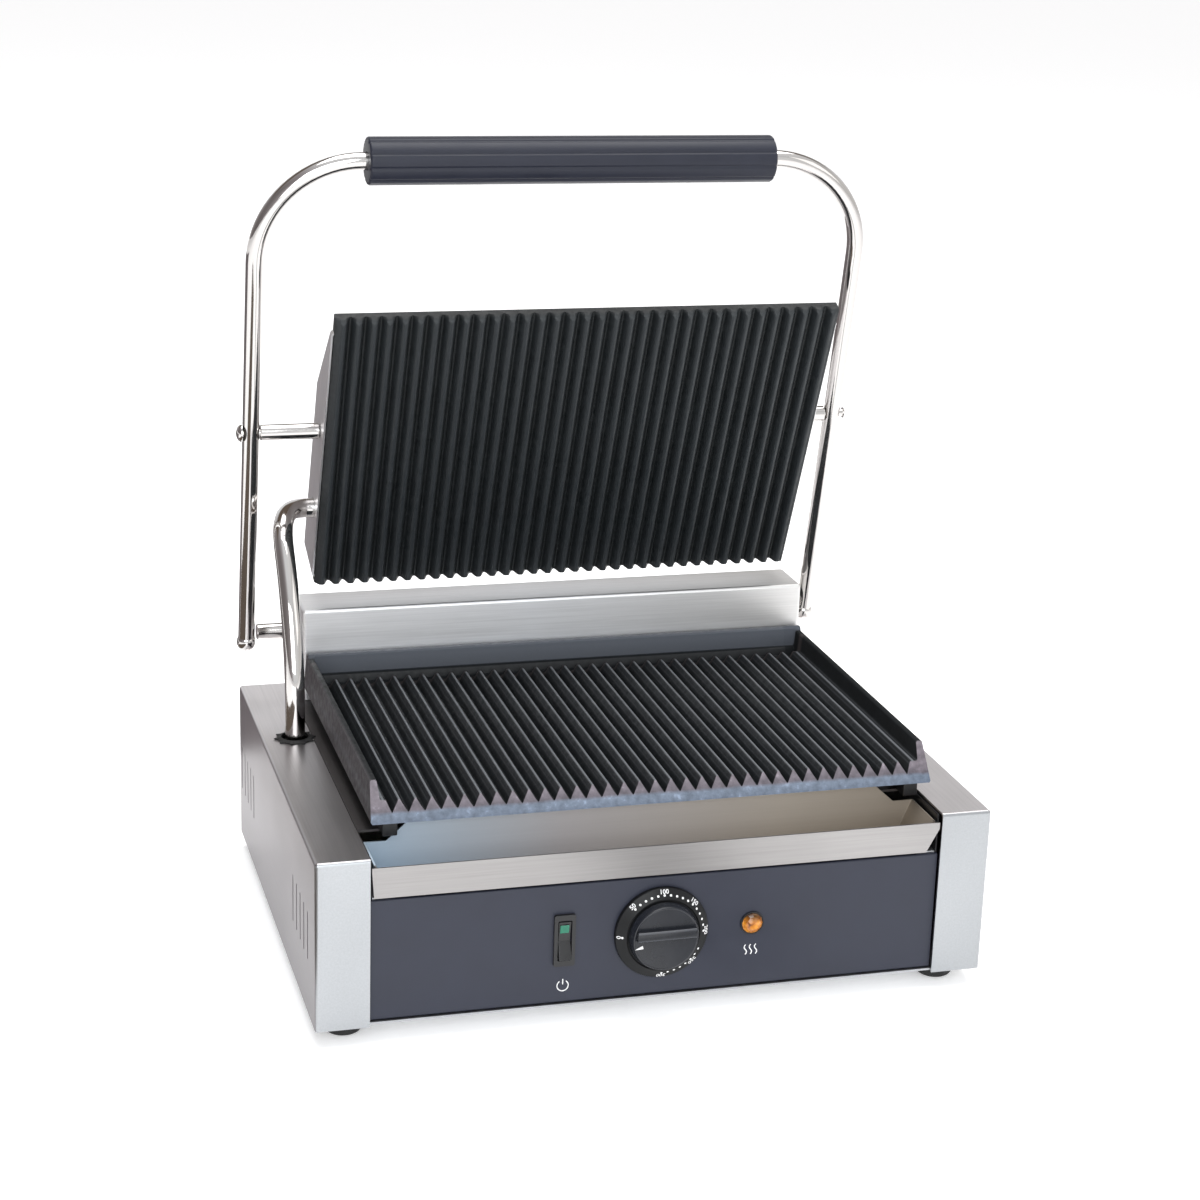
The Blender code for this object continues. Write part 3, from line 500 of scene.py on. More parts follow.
def lower_iron(left, front, floor, lean):
    """Seasoned cast iron, with painted light: painted highlights along the rib tips, and a mottled front
    face painted bright as a painted reflection.
    """
    dark = (0.0060, 0.0072, 0.0085)
    look, tree, shader = new_look("lower_iron", dark, 0.55, Specular_IOR_Level=0.30)
    fine = texture(tree, 900.0, 3.0, 0.6)
    coarse = texture(tree, 210.0, 3.0, 0.6)
    stain = texture(tree, 60.0, 3.0, 0.6)
    x, y, z = own_axes(tree)
    # painted highlights: pale lines along the rib tips, with a fainter one down each side
    beside = math_node(tree, "PINGPONG", math_node(tree, "SUBTRACT", x, LOWER_RIB_X), RIB_PITCH / 2)
    lines = graded(tree, span(tree, beside, 0.0, RIB_PITCH / 2),
                   ((0.0, 1.0), (0.11, 0.9), (0.20, 0.06), (0.40, 0.05), (0.48, 0.22), (0.56, 0.03),
                    (1.0, 0.0)))
    for limit in (span(tree, z, VALLEY_Z + 0.0010, VALLEY_Z + 0.0030),
                  span(tree, z, TIP_Z + 0.0008, TIP_Z + 0.0003), span(tree, y, 0.0925, 0.0895)):
        lines = math_node(tree, "MULTIPLY", lines, limit)
    # the body, with the channel behind the ribs a lighter brown of its own, and painted sheen: the rear wall
    # painted a lighter bluish grey and the left wall's outer face painted lighter
    body = times(tree, dark, graded(tree, stain, ((0.30, 0.75), (0.70, 1.30))))
    body = mixed(tree, span(tree, y, 0.1040, 0.1062), body, (0.085, 0.094, 0.112))
    channel = math_node(tree, "MULTIPLY", span(tree, y, 0.0900, 0.0935), span(tree, y, 0.0985, 0.0960))
    body = mixed(tree, channel, body, (0.045, 0.038, 0.038))
    # painted sheen: the left wall's outer face is painted lighter
    body = mixed(tree, span(tree, x, left + 0.0030, left + 0.0016), body, (0.046, 0.042, 0.046))
    body = mixed(tree, lines, body, (0.140, 0.148, 0.160))
    # the front face painted bright as a painted reflection, with a mottled grain: bluish below, brownish
    # toward the rib ends
    level = math_node(tree, "ADD", span(tree, z, floor, TIP_Z), math_node(tree, "MULTIPLY", stain, 0.16))
    front_face_reflection = graded(tree, level, ((0.0, (0.105, 0.130, 0.175)), (0.44, (0.135, 0.165, 0.215)),
                                (0.58, (0.110, 0.098, 0.115)), (1.0, (0.165, 0.145, 0.165))))
    front_face_reflection = times(tree, front_face_reflection, graded(tree, coarse, ((0.32, 0.72), (0.62, 1.15), (0.74, 1.9))))
    set_back = math_node(tree, "MULTIPLY_ADD", z, -lean, y)
    edge = front - lean * floor
    at_front = span(tree, set_back, edge + 0.0005, edge + 0.0001)
    rough = graded(tree, coarse, ((0.30, 0.38), (0.70, 0.60)))
    right_wall = span(tree, x, -left - 0.0062, -left - 0.0052)
    give(shader, Base_Color=mixed(tree, at_front, body, front_face_reflection),
         Roughness=mixed(tree, right_wall, rough, (0.95, 0.95, 0.95)))
    bumped(tree, shader, ((coarse, 0.35, 0.0004), (fine, 0.30, 0.0002)))
    return look


def side_steel(side, outer, top, back):
    """A side cover's steel, with painted light: its outer face painted darker toward the foot as painted
    shade, its top painted paler toward the rear and its front flange painted paler, as painted highlights.
    """
    # painted light: the two covers get lit and shaded copies of one steel, the left one lighter
    tone = tuple(channel * (0.88 if side < 0 else 0.76) for channel in SHEET_TONE)
    look = brushed(f"side_steel_{'left' if side < 0 else 'right'}", tone, 0.34, (900.0, 14.0, 900.0))
    tree, shader, was = painted(look)
    edge, skin = 0.0014, 0.0006            # a face's tone fades in between these depths
    shade_toward_foot = graded(tree, height(tree, "Z", 0.0, top),
                  ((0.05, (0.46, 0.44, 0.46)), (0.50, (0.63, 0.605, 0.63)), (0.92, (0.86, 0.83, 0.85))))
    at_front, at_rear = (1.0, 2.0) if side < 0 else (1.72, 2.1)
    highlight_toward_rear = graded(tree, height(tree, "Y", -back, back), ((0.35, at_front), (0.95, at_rear)))
    outside = height(tree, "X", outer - side * edge, outer - side * skin)
    above = height(tree, "Z", top - edge, top - skin)
    before = height(tree, "Y", edge - back, skin - back)
    body = was
    # painted shade on the outer face, painted highlights on the top and on the front flange
    for where, change in ((outside, shade_toward_foot), (above, highlight_toward_rear), (before, (1.08, 1.16, 1.19))):
        body = mixed(tree, where, body, times(tree, was, change))
    give(shader, Base_Color=body)
    return look


def amber_glass(name):
    look, tree, shader = new_look(name, (0.90, 0.33, 0.04), 0.14, Emission_Strength=0.04, Coat_Weight=0.3)
    cells = add(tree, "ShaderNodeTexVoronoi",
                {"Vector": add(tree, "ShaderNodeTexCoord").outputs["Object"], "Scale": 260.0})
    tone = graded(tree, cells.outputs["Distance"], ((0.15, (0.66, 0.26, 0.025)), (0.60, (0.44, 0.14, 0.010)),
                                                    (0.85, (0.09, 0.03, 0.01))))
    upper = graded(tree, height(tree, "Y", 0.0010, 0.0060), ((0.1, 1.0), (0.8, 0.16)))
    tone = times(tree, tone, upper)
    give(shader, Base_Color=tone)
    give(shader, Emission_Color=tone)
    bumped(tree, shader, ((cells.outputs["Distance"], 0.6, 0.0006),))
    return look


# ---- the looks ----
SHEET_TONE = (0.53, 0.51, 0.515)
HOUSING_STEEL = brushed("housing_steel", (0.97, 0.97, 0.98), 0.46, (14.0, 900.0, 900.0), dark=0.94)
POLISHED = brushed("polished_steel", (0.90, 0.89, 0.90), 0.42, (500.0, 500.0, 10.0), cloud=0.06)
PLAIN_STEEL = brushed("plain_steel", (0.55, 0.54, 0.53), 0.38, (14.0, 700.0, 700.0))
DECK_STEEL = brushed("deck_steel", (0.13, 0.12, 0.12), 0.50, (14.0, 700.0, 700.0))
ZINC = brushed("zinc_plate", (0.50, 0.51, 0.53), 0.42, (160.0, 160.0, 160.0), cloud=0.2)
BRASS = brushed("brass", (0.72, 0.52, 0.22), 0.32, (300.0, 300.0, 300.0))
CHROME = chromed("chrome", (0.61, 0.59, 0.575))
SLATE = moulded("slate_paint", (0.024, 0.027, 0.042), 0.42, 900.0, 0.10, 0.06, Specular_IOR_Level=0.35)
BLACK = moulded("black_plastic", (0.010, 0.010, 0.011), 0.34, 1500.0, 0.10)
DIAL_BLACK = moulded("dial_plastic", (0.0055, 0.0058, 0.0065), 0.38, 1500.0, 0.10,
                     Specular_IOR_Level=0.24)
ROCKER_BLACK = moulded("rocker_plastic", (0.009, 0.009, 0.010), 0.26, 1800.0, 0.06)
GRIP = moulded("grip_plastic", (0.014, 0.016, 0.027), 0.40, 1600.0, 0.10, 0.08, Specular_IOR_Level=0.32)
RUBBER = moulded("rubber", (0.009, 0.009, 0.009), 0.62, 700.0, 0.30)
CERAMIC = moulded("ceramic", (0.70, 0.67, 0.60), 0.55, 500.0, 0.25)
PRINT = moulded("white_print", (0.80, 0.80, 0.80), 0.50, 900.0, 0.05, 0.04)
AMBER = amber_glass("amber_lens")
GREEN = moulded("green_lens", (0.004, 0.15, 0.085), 0.25, 600.0, 0.10, 0.3, Coat_Weight=0.1)


# ---- the base ----
COVER_FOLD, SHEET = 0.0022, 0.0015
SLOT_WIDTH, SLOT_PITCH = 0.0022, 0.0132
SLOT_STARTS = ((-0.0730, -1), (0.0880, 1))       # first slot of each group, and the way it goes
SLOT_BOTTOM, SLOT_TOP = 0.0340, 0.0640


def slot_cutter(width, low, high, start, end, y):
    """A slot with round ends, upright, cut through along X."""
    outline = rounded_box(width, high - low, width / 2 - 0.00001, 4)
    return slab("slot", around(y, (low + high) / 2, outline), start, end, "YZ")


HOLE = Vector((-0.1845, 0.0464, 0.1040))
HOLE_R = 0.0100


def side_cover(node, side):
    low, high = extent(node, BASE)
    cover = folded_box(node, low, high, ("-Z", "-X" if side > 0 else "+X"), COVER_FOLD, SHEET)
    outer = high.x if side > 0 else low.x
    for first, way in SLOT_STARTS:
        for i in range(5):
            y = first + way * SLOT_PITCH * i
            cut(cover, slot_cutter(SLOT_WIDTH, SLOT_BOTTOM, SLOT_TOP, outer - 0.004, outer + 0.004, y))
    if side < 0:
        drill(cover, HOLE_R, at(*HOLE))
    show(cover, BASE, "base", side_steel(side, outer, high.z, high.y), (node,))


def grommet():
    """A thin rubber collar with short points, lying round the conduit's hole."""
    points = 10
    steps = points * 4
    inner, outer, lift = HOLE_R - 0.0014, HOLE_R + 0.0012, 0.0009
    loops = []
    for k in range(steps + 1):
        angle = 2 * math.pi * k / steps
        reach = outer + 0.0022 * max(0.0, math.cos(angle * points)) ** 2
        edge = Vector((math.cos(angle), math.sin(angle), 0.0))
        loops.append([edge * inner, edge * reach, edge * reach + Vector((0, 0, lift * 0.6)),
                      edge * inner + Vector((0, 0, lift * 1.6))])
    ring = moved(loft("conduit_grommet", loops, caps=False), at(*HOLE) @ at(0.0, 0.0, 0.0002))
    bm = bmesh.new()
    bm.from_mesh(ring.data)
    bmesh.ops.remove_doubles(bm, verts=bm.verts, dist=0.00001)
    bm.to_mesh(ring.data)
    bm.free()
    show(ring, BASE, "base", RUBBER)


def folded_strip(name, path, start, end, sheet, fold):
    """A sheet folded along X through the corners of a (y, z) path."""
    points = [path[0]]
    for before, corner, after in zip(path, path[1:], path[2:]):
        corner = Vector(corner)
        toward, away = (Vector(before) - corner).normalized(), (Vector(after) - corner).normalized()
        for k in range(6):
            t = k / 5
            points.append(corner + toward * fold * (1 - t) ** 2 + away * fold * t ** 2)
    points.append(path[-1])
    loops = [[(x, point[0], point[1]) for point in points] for x in (start, end)]
    strip = loft(name, loops, caps=False, closed=False)
    modify(strip, "SOLIDIFY", thickness=sheet, offset=-1.0, use_even_offset=True)
    return settle(strip)


def front_panel():
    low, high = extent("front_panel", BASE)
    deep = low.y + 0.0060
    path = ((deep, high.z), (low.y, high.z), (low.y, low.z), (deep, low.z))
    panel = folded_strip("front_panel", path, low.x, high.x, SHEET, 0.0012)
    show(panel, BASE, "base", SLATE, ("front_panel",))


def icons():
    """Small printed marks below the switch and the lamp: a power sign and three heat waves."""
    print_y = extent("front_panel", BASE)[0].y - 0.00002
    size, power_z, waves_z = 0.0034, 0.0135, 0.0225

    def printed(name, line):
        mark = tube(name, [(x, print_y, z) for x, z in line], 0.00035, 2)
        show(mark, BASE, "base", PRINT)

    x = sum(edge.x for edge in extent("switch_body", BASE)) / 2
    printed("power_mark_ring", around(x, power_z, arc((0.0, 0.0), size, 125, 415, 28)))
    printed("power_mark_bar", [(x, power_z + 0.0008), (x, power_z + size * 1.25)])
    middle = sum(edge.x for edge in extent("indicator_lens", BASE)) / 2
    for i in range(3):
        wave = [(0.0008 * math.sin(k / 14 * 2 * math.pi), 0.0064 * k / 14) for k in range(15)]
        printed(f"heat_mark_{i + 1}", around(middle + (i - 1) * 0.0032, waves_z, wave))


def screw(name, place, body, radius, look=None):
    """A cross-recessed dome screw; its local Z points out of the surface."""
    rise = radius * 0.55
    profile = [(0.0, rise)]
    for k in range(1, 9):
        angle = math.pi / 2 * k / 8
        profile.append((radius * math.sin(angle), rise * math.cos(angle)))
    profile += [(radius, -0.0004), (0.0, -0.0004)]
    head = turned(name, profile, 32)
    arm, width = radius * 0.52, radius * 0.13
    for a, b in ((arm, width), (width, arm)):
        cut(head, block("recess", (-a, -b, rise * 0.45), (a, b, rise * 1.5)))
    show(head, place, body, look or ZINC)


def rear_and_floor():
    low, high = extent("rear_panel", BASE)
    rear = from_node("rear_panel", "rear_panel")
    show(soften(moved(rear, BASE.inverted()), 0.0003), BASE, "base", PLAIN_STEEL, ("rear_panel",))
    facing = Matrix.Rotation(math.radians(-90), 4, "X")
    for i, x in enumerate((low.x + 0.010, high.x - 0.010)):
        for j, z in enumerate((low.z + 0.010, high.z - 0.010)):
            where = BASE @ at(x, high.y, z) @ facing
            screw(f"rear_screw_{i * 2 + j + 1}", where, "base", 0.0034)
    under = Matrix.Rotation(math.pi, 4, "X")
    low, high = extent("bottom_plate", BASE)
    top = (high.x, high.y, high.z + 0.006)
    floor = folded_box("bottom_plate", low, top, ("+Z", "-Y"), 0.0012, 0.0012)
    for row in range(5):
        for side in (-1, 1):
            outline = around(side * 0.070, (row - 2) * 0.016, rounded_box(0.060, 0.004, 0.00199, 4))
            cut(floor, slab("slot", outline, low.z - 0.004, low.z + 0.004, "XY"))
    show(floor, BASE, "base", ZINC, ("bottom_plate",))
    for i, x in enumerate((low.x + 0.014, high.x - 0.014)):
        for j, y in enumerate((-0.060, 0.060)):
            where = BASE @ at(x, y, low.z) @ under
            screw(f"bottom_screw_{i * 2 + j + 1}", where, "base", 0.0034)


def feet():
    for end in ("front", "rear"):
        for side in ("left", "right"):
            node = f"foot_{end}_{side}"
            low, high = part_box(node)
            top = high.z - low.z
            radius = (high.x - low.x) / 2
            profile = [(0.0, 0.0), (radius * 0.30, 0.0), (radius * 0.34, 0.0012), (radius * 0.52, 0.0012),
                       (radius * 0.58, 0.0)]
            profile += arc((radius * 0.66, 0.0034), 0.0034, -90, 0, 4)
            profile += [(radius * 0.985, 0.0050), (radius, 0.0068), (radius * 0.99, 0.0090),
                        (radius * 0.95, 0.0104), (radius * 0.80, top), (0.0, top)]
            foot = turned(node, profile, 48)
            where = at((low.x + high.x) / 2, (low.y + high.y) / 2, low.z)
            show(foot, where, "base", RUBBER, (node,), angle=50.0)


# ---- the tray ----
def drip_tray():
    low, high = extent("drip_tray", BASE)
    front_top, sheet = low.z + 0.0192, 0.0010
    box = block("drip_tray", low, (high.x, high.y, front_top))
    for vert in box.data.vertices:
        if vert.co.z < front_top - 0.001:
            vert.co.x += 0.0030 if vert.co.x < 0 else -0.0080
    in_sheet(box, lambda face: face.normal.z > 0.9, 0.0014, sheet, 4)
    reach = high.x + 0.0019
    face = [(-reach, front_top), (-reach, front_top - 0.0030), (-reach + 0.0012, low.z + 0.0006),
            (reach - 0.0078, low.z + 0.0006), (reach, front_top - 0.0040), (reach, front_top)]
    join(box, slab("face", face, low.y, low.y + sheet, "XZ"))
    wide, narrow = 0.1570, 0.1450
    wall = [(low.x + 0.0002, low.z + 0.010), (high.x - 0.0002, low.z + 0.010), (high.x - 0.0002, front_top),
            (wide, front_top), (narrow, high.z), (-narrow, high.z), (-wide, front_top),
            (low.x + 0.0002, front_top)]
    join(box, slab("wall", wall, high.y - 0.0010, high.y, "XZ"))
    show(box, BASE, "tray", tray_steel(low, high), ("drip_tray",))


# ---- the plates ----
RIB_PITCH = 0.0096
TIP_R, VALLEY_R = 0.0009, 0.0006


def rib_line(count, middle, tip, valley, ends, tip_r=TIP_R, valley_r=VALLEY_R):
    """Rounded ribs from left to right between two outer points; height may run either way."""
    rise = abs(tip - valley)
    up = 1.0 if tip > valley else -1.0
    radii = tip_r + valley_r
    across, down = RIB_PITCH / 2, rise - radii
    slope = math.asin(radii / math.hypot(across, down)) + math.atan2(down, across)
    points = [ends[0]]
    steps = 6
    for i in range(count):
        x = middle + (i - (count - 1) / 2) * RIB_PITCH
        if i:
            for k in range(steps + 1):
                angle = slope * (2 * k / steps - 1)
                points.append((x - RIB_PITCH / 2 + valley_r * math.sin(angle),
                               valley + up * valley_r * (1 - math.cos(angle))))
        for k in range(steps + 1):
            angle = slope * (2 * k / steps - 1)
            points.append((x + tip_r * math.sin(angle), tip - up * tip_r * (1 - math.cos(angle))))
    points.append(ends[1])
    return points


LOWER_RIBS, LOWER_RIB_X = 33, 0.0032
UPPER_RIBS, UPPER_RIB_X = 34, 0.0059
TIP_Z, VALLEY_Z, WALL_Z = 0.1255, 0.1188, 0.1358
FRONT_SLOPE = 0.014                # how far the front face leans back over the wall's height


def lower_plate():
    low, high = extent("lower_grill_plate", BASE)
    top, floor = high.z, low.z
    left, right = low.x, high.x
    lean = FRONT_SLOPE / (WALL_Z - floor)
    groove = VALLEY_R * 0.4
    first = LOWER_RIB_X - (LOWER_RIBS - 1) / 2 * RIB_PITCH - RIB_PITCH / 2
    last = LOWER_RIB_X + (LOWER_RIBS - 1) / 2 * RIB_PITCH + RIB_PITCH / 2
    ends = ((first + groove, VALLEY_Z), (last - groove, VALLEY_Z))
    ribs = rib_line(LOWER_RIBS, LOWER_RIB_X, TIP_Z, VALLEY_Z, ends)
    wall_in, wall = 0.0056, WALL_Z
    inner_left, inner_right = left + wall_in + 0.0010, right - wall_in - 0.0010
    profile = [(left + 0.0016, wall - 0.0008), (left + 0.0024, wall), (left + wall_in - 0.0008, wall),
               (left + wall_in, wall - 0.0008), (inner_left - 0.0002, TIP_Z + 0.0008),
               (inner_left + 0.0006, TIP_Z)]
    profile += [(first - 0.0033, TIP_Z), (first - 0.0029, TIP_Z - 0.0004), (first - groove, VALLEY_Z)]
    profile += ribs
    profile += [(last + groove, VALLEY_Z), (last + 0.0029, TIP_Z - 0.0004), (last + 0.0033, TIP_Z)]
    profile += [(inner_right - 0.0006, TIP_Z), (inner_right + 0.0002, TIP_Z + 0.0008),
                (right - wall_in, wall - 0.0008), (right - wall_in + 0.0008, wall), (right - 0.0024, wall),
                (right - 0.0016, wall - 0.0008)]
    foot = [(right, floor + 0.0010), (right - 0.0008, floor), (left + 0.0008, floor), (left, floor + 0.0010)]
    front, rear = low.y, high.y

    def loop(y, inside, outside=lambda z: z):
        """The profile at y, its heights changed between the side walls and on them."""
        points = []
        for x, z in profile:
            change = inside if inner_left - 0.0001 < x < inner_right + 0.0001 else outside
            points.append((x, y, change(z)))
        return points + [(x, y, z) for x, z in foot]

    loops = []
    for set_back, drop in ((0.0, 0.0006), (0.0006, 0.0)):
        edge = [(x, z - drop if z > VALLEY_Z + 0.001 else z) for x, z in profile] + foot
        loops.append([(x, front + lean * (z - floor) + set_back, z) for x, z in edge])
    channel = VALLEY_Z + 0.0012
    for y, limit in ((0.0905, TIP_Z), (0.0935, TIP_Z - 0.0006), (0.0975, channel)):
        loops.append(loop(y, lambda z: min(z, limit)))
    for y, level in ((0.0992, channel - 0.0006), (0.1008, channel), (0.1018, TIP_Z - 0.0012),
                     (0.1026, TIP_Z - 0.0004), (0.1056, TIP_Z), (0.1064, top - 0.0010), (0.1074, top),
                     (rear - 0.0020, top)):
        loops.append(loop(y, lambda z: level, lambda z: max(z, level)))
    loops.append([(x, rear - 0.0010, top - 0.0008) for x, z in profile] + [(x, rear, z) for x, z in foot])
    plate = loft("lower_grill_plate", loops)
    show(plate, BASE, "base", lower_iron(left, front, floor, lean), ("lower_grill_plate",), angle=38.0)


def upper_plate():
    low, high = extent("upper_grill_plate", PLATE)
    tips, back = low.y, high.y
    valley = tips + 0.0052
    ends = ((low.x + 0.0002, tips + 0.0036), (high.x - 0.0002, tips + 0.0012))
    ribs = rib_line(UPPER_RIBS, UPPER_RIB_X, tips, valley, ends, 0.0021, 0.0010)
    edge = 0.0008
    profile = [(low.x, back), (low.x, tips + 0.0042), *ribs, (high.x, tips + 0.0018), (high.x, back)]

    def ring(z, shrink):
        return [(x, min(max(y, tips + shrink), back), z) for x, y in profile]

    loops = [ring(low.z, edge), ring(low.z + edge * 0.4, edge * 0.3), ring(low.z + edge, 0.0),
             ring(high.z - 0.0040, 0.0), ring(high.z - 0.0022, 0.0006), ring(high.z - 0.0009, 0.0020),
             ring(high.z, 0.0040)]
    plate = loft("upper_grill_plate", loops)
    # the tip colour is a painted highlight on the rib tips
    look = cast_iron("upper_iron", (0.0050, 0.0068, 0.0078), (0.014, 0.018, 0.021), "Y", valley, tips,
                     0.52, (0.25, 1.05))
    show(plate, PLATE, "upper_plate", look, ("upper_grill_plate",), angle=38.0)


def upper_cover():
    low, high = extent("upper_cover", PLATE)
    tips = extent("upper_grill_plate", PLATE)[0].y
    front, rear = high.z, low.z
    fold_y, fold_z = tips + 0.0390, front - 0.0598
    strip_y = tips + 0.0098
    profile = [(low.y, rear), (low.y, front), (strip_y, front), (fold_y, fold_z), (high.y, rear)]
    cover = slab("upper_cover", profile, low.x, high.x, "YZ")
    in_sheet(cover, lambda face: all(vert.co.y < low.y + 0.0001 for vert in face.verts), 0.0022, 0.0012)
    for z in ((front - 0.007, front + 0.01), (rear - 0.006, rear + 0.004)):
        cut(cover, block("gap", (low.x + 0.0016, low.y - 0.01, z[0]), (high.x - 0.0016, strip_y, z[1])))
    drill(cover, 0.0067, at(low.x, *conduit_end()) @ Z_TO_RIGHT)
    show(cover, PLATE, "upper_plate", POLISHED, ("upper_cover",))


# ---- the conduit ----
def conduit_end():
    """Where the conduit enters the cover, as (y, z) on the plate's axes."""
    low, high = extent("conduit_locknut", PLATE)
    return (low.y + high.y) / 2, (low.z + high.z) / 2


def turn_pair(y, z, angle):
    return y * math.cos(angle) - z * math.sin(angle), y * math.sin(angle) + z * math.cos(angle)


BEND_FROM = math.radians(4.5)       # the bend starts this much lift before the closed end


def conduit():
    """It slides through the fixed hole, so its centre line is the hole's own path on the plate."""
    lift_range = math.radians(joints["handle_lift"]["range_deg"][1])
    ratio = (math.pi / 2 - PLATE_LEAN) / lift_range
    base_low = extent("left_cover", BASE)
    shaft = BASE.inverted() @ HANDLE.translation
    pivot = BASE.inverted() @ PLATE.translation
    arm = math.hypot(pivot.y - shaft.y, pivot.z - shaft.z)

    def hole_on_plate(lift):
        reach_y, reach_z = turn_pair(0.0, arm, HANDLE_LEAN + lift)
        away = (HOLE.y - shaft.y - reach_y, base_low[1].z - shaft.z - reach_z)
        return turn_pair(*away, -(PLATE_LEAN + ratio * lift))

    points = []
    start_lift = math.radians(-2.5)
    steps = 36
    for i in range(steps + 1):
        lift = start_lift + (lift_range - BEND_FROM - start_lift) * i / steps
        points.append(Vector((HOLE.x, *hole_on_plate(lift))))
    start = points[-1]
    run = (points[-1] - points[-2]).normalized()
    wall = extent("upper_cover", PLATE)[0].x
    end = Vector((wall - 0.004, *conduit_end()))
    rise, across = 0.72 * (end - start).dot(run), Vector((0.58 * (end.x - start.x), 0.0, 0.0))
    bend = 20
    for i in range(1, bend + 1):
        t = i / bend
        a, b, c, d = (1 - t) ** 3, 3 * t * (1 - t) ** 2, 3 * t * t * (1 - t), t ** 3
        points.append(a * start + b * (start + run * rise) + c * (end - across) + d * end)
    points.append(end + Vector((0.0095, 0.0, 0.0)))
    pipe = tube("conduit_tube", points, 0.0063, 8, caps=False)
    modify(pipe, "SOLIDIFY", thickness=0.0010, offset=-1.0)
    show(settle(pipe), PLATE, "upper_plate", CHROME, ("conduit_tube",))


# ---- the hinge and the handle ----
def housing():
    low, high = extent("hinge_housing", BASE)
    shell = folded_box("hinge_housing", low, high, ("-Z",), 0.0022, 0.0012)
    shaft = BASE.inverted() @ HANDLE.translation
    for x in (low.x, high.x):
        drill(shell, 0.0074, at(x, shaft.y, shaft.z) @ Z_TO_RIGHT, 0.005)
    tree, shader, was = painted(HOUSING_STEEL)
    # painted light: the steel painted brighter at the left and darker toward the right, and the rear face
    # painted darker as a painted shade
    across = graded(tree, height(tree, "X", low.x, high.x),
                    ((0.05, (1.02, 1.02, 1.02)), (0.45, (0.94, 0.95, 0.96)), (0.95, (0.84, 0.83, 0.81))))
    behind = height(tree, "Y", high.y - 0.0014, high.y - 0.0006)
    give(shader, Base_Color=mixed(tree, behind, times(tree, was, across), (0.44, 0.43, 0.43)))
    show(shell, BASE, "base", HOUSING_STEEL, ("hinge_housing",))


def shaft_and_bushes():
    low, high = extent("hinge_shaft", HANDLE)
    radius = (high.z - low.z) / 2
    length = high.x - low.x
    profile = [(0.0, 0.0), (radius - 0.0005, 0.0), (radius, 0.0005), (radius, length - 0.0005),
               (radius - 0.0005, length), (0.0, length)]
    rod = moved(turned("hinge_shaft", profile, 40), Z_TO_RIGHT)
    show(moved(rod, at(low.x, 0.0, 0.0)), HANDLE, "handle", CHROME, ("hinge_shaft",))
    for side in ("left", "right"):
        node = f"shaft_bush_{side}"
        bush = moved(from_node(node, node), BASE.inverted())
        show(soften(bush, 0.0004), BASE, "base", BLACK, (node,))


BEND_R = 0.0640


def handle_rod():
    low, high = extent("handle_rod", HANDLE)
    radius = (high.y - low.y) / 2
    left, right = low.x + radius, high.x - radius
    top = high.z - radius
    points = [(left, 0.0, low.z), (left, 0.0, (low.z + top) / 2)]
    for x, start in ((left + BEND_R, 180), (right - BEND_R, 90)):
        points += [(a, 0.0, b) for a, b in arc((x, top - BEND_R), BEND_R, start, start - 90, 20)]
    points += [(right, 0.0, (low.z + top) / 2), (right, 0.0, low.z)]
    show(tube("handle_rod", points, radius, 10), HANDLE, "handle", CHROME, ("handle_rod",))

    for side in ("left", "right"):
        node = f"ball_end_{side}"
        low, high = extent(node, HANDLE)
        ball = (high.x - low.x) / 2
        neck = high.z + 0.0003
        centre = low.z + ball
        profile = [(0.0, neck), (radius - 0.0002, neck), (radius + 0.0002, neck - 0.0006)]
        start = math.asin(min(1.0, (radius + 0.0001) / ball))
        for k in range(13):
            angle = start + (math.pi - start) * k / 12
            profile.append((ball * math.sin(angle), centre + ball * math.cos(angle)))
        end = turned(node, profile, 40)
        show(moved(end, at((low.x + high.x) / 2, 0.0, 0.0)), HANDLE, "handle", CHROME, (node,))


def grip():
    low, high = extent("handle_grip", HANDLE)
    radius = (high.y - low.y) / 2
    bore = 0.0057
    flutes, per_flute = 10, 14
    depth, groove = 0.0008, 0.0012

    def ring(x, size):
        loop = []
        for k in range(flutes * per_flute):
            angle = 2 * math.pi * k / (flutes * per_flute)
            off = abs((k + per_flute // 2) % per_flute - per_flute // 2) / (flutes * per_flute)
            away = min(1.0, off * 2 * math.pi * size / groove)
            reach = size - (depth * (1.0 - away ** 2) if size > bore else 0.0)
            loop.append((x, reach * math.cos(angle), reach * math.sin(angle)))
        return loop

    ends = [(0.0, bore), (0.0, radius - 0.0014), (0.0005, radius - 0.0005), (0.0014, radius)]
    loops = [ring(low.x + step, size) for step, size in ends]
    loops += [ring(high.x - step, size) for step, size in reversed(ends)]
    handle = loft("handle_grip", loops, caps=False)
    centre = (low.z + high.z) / 2
    show(moved(handle, at(0.0, 0.0, centre)), HANDLE, "handle", GRIP, ("handle_grip",), angle=50.0)


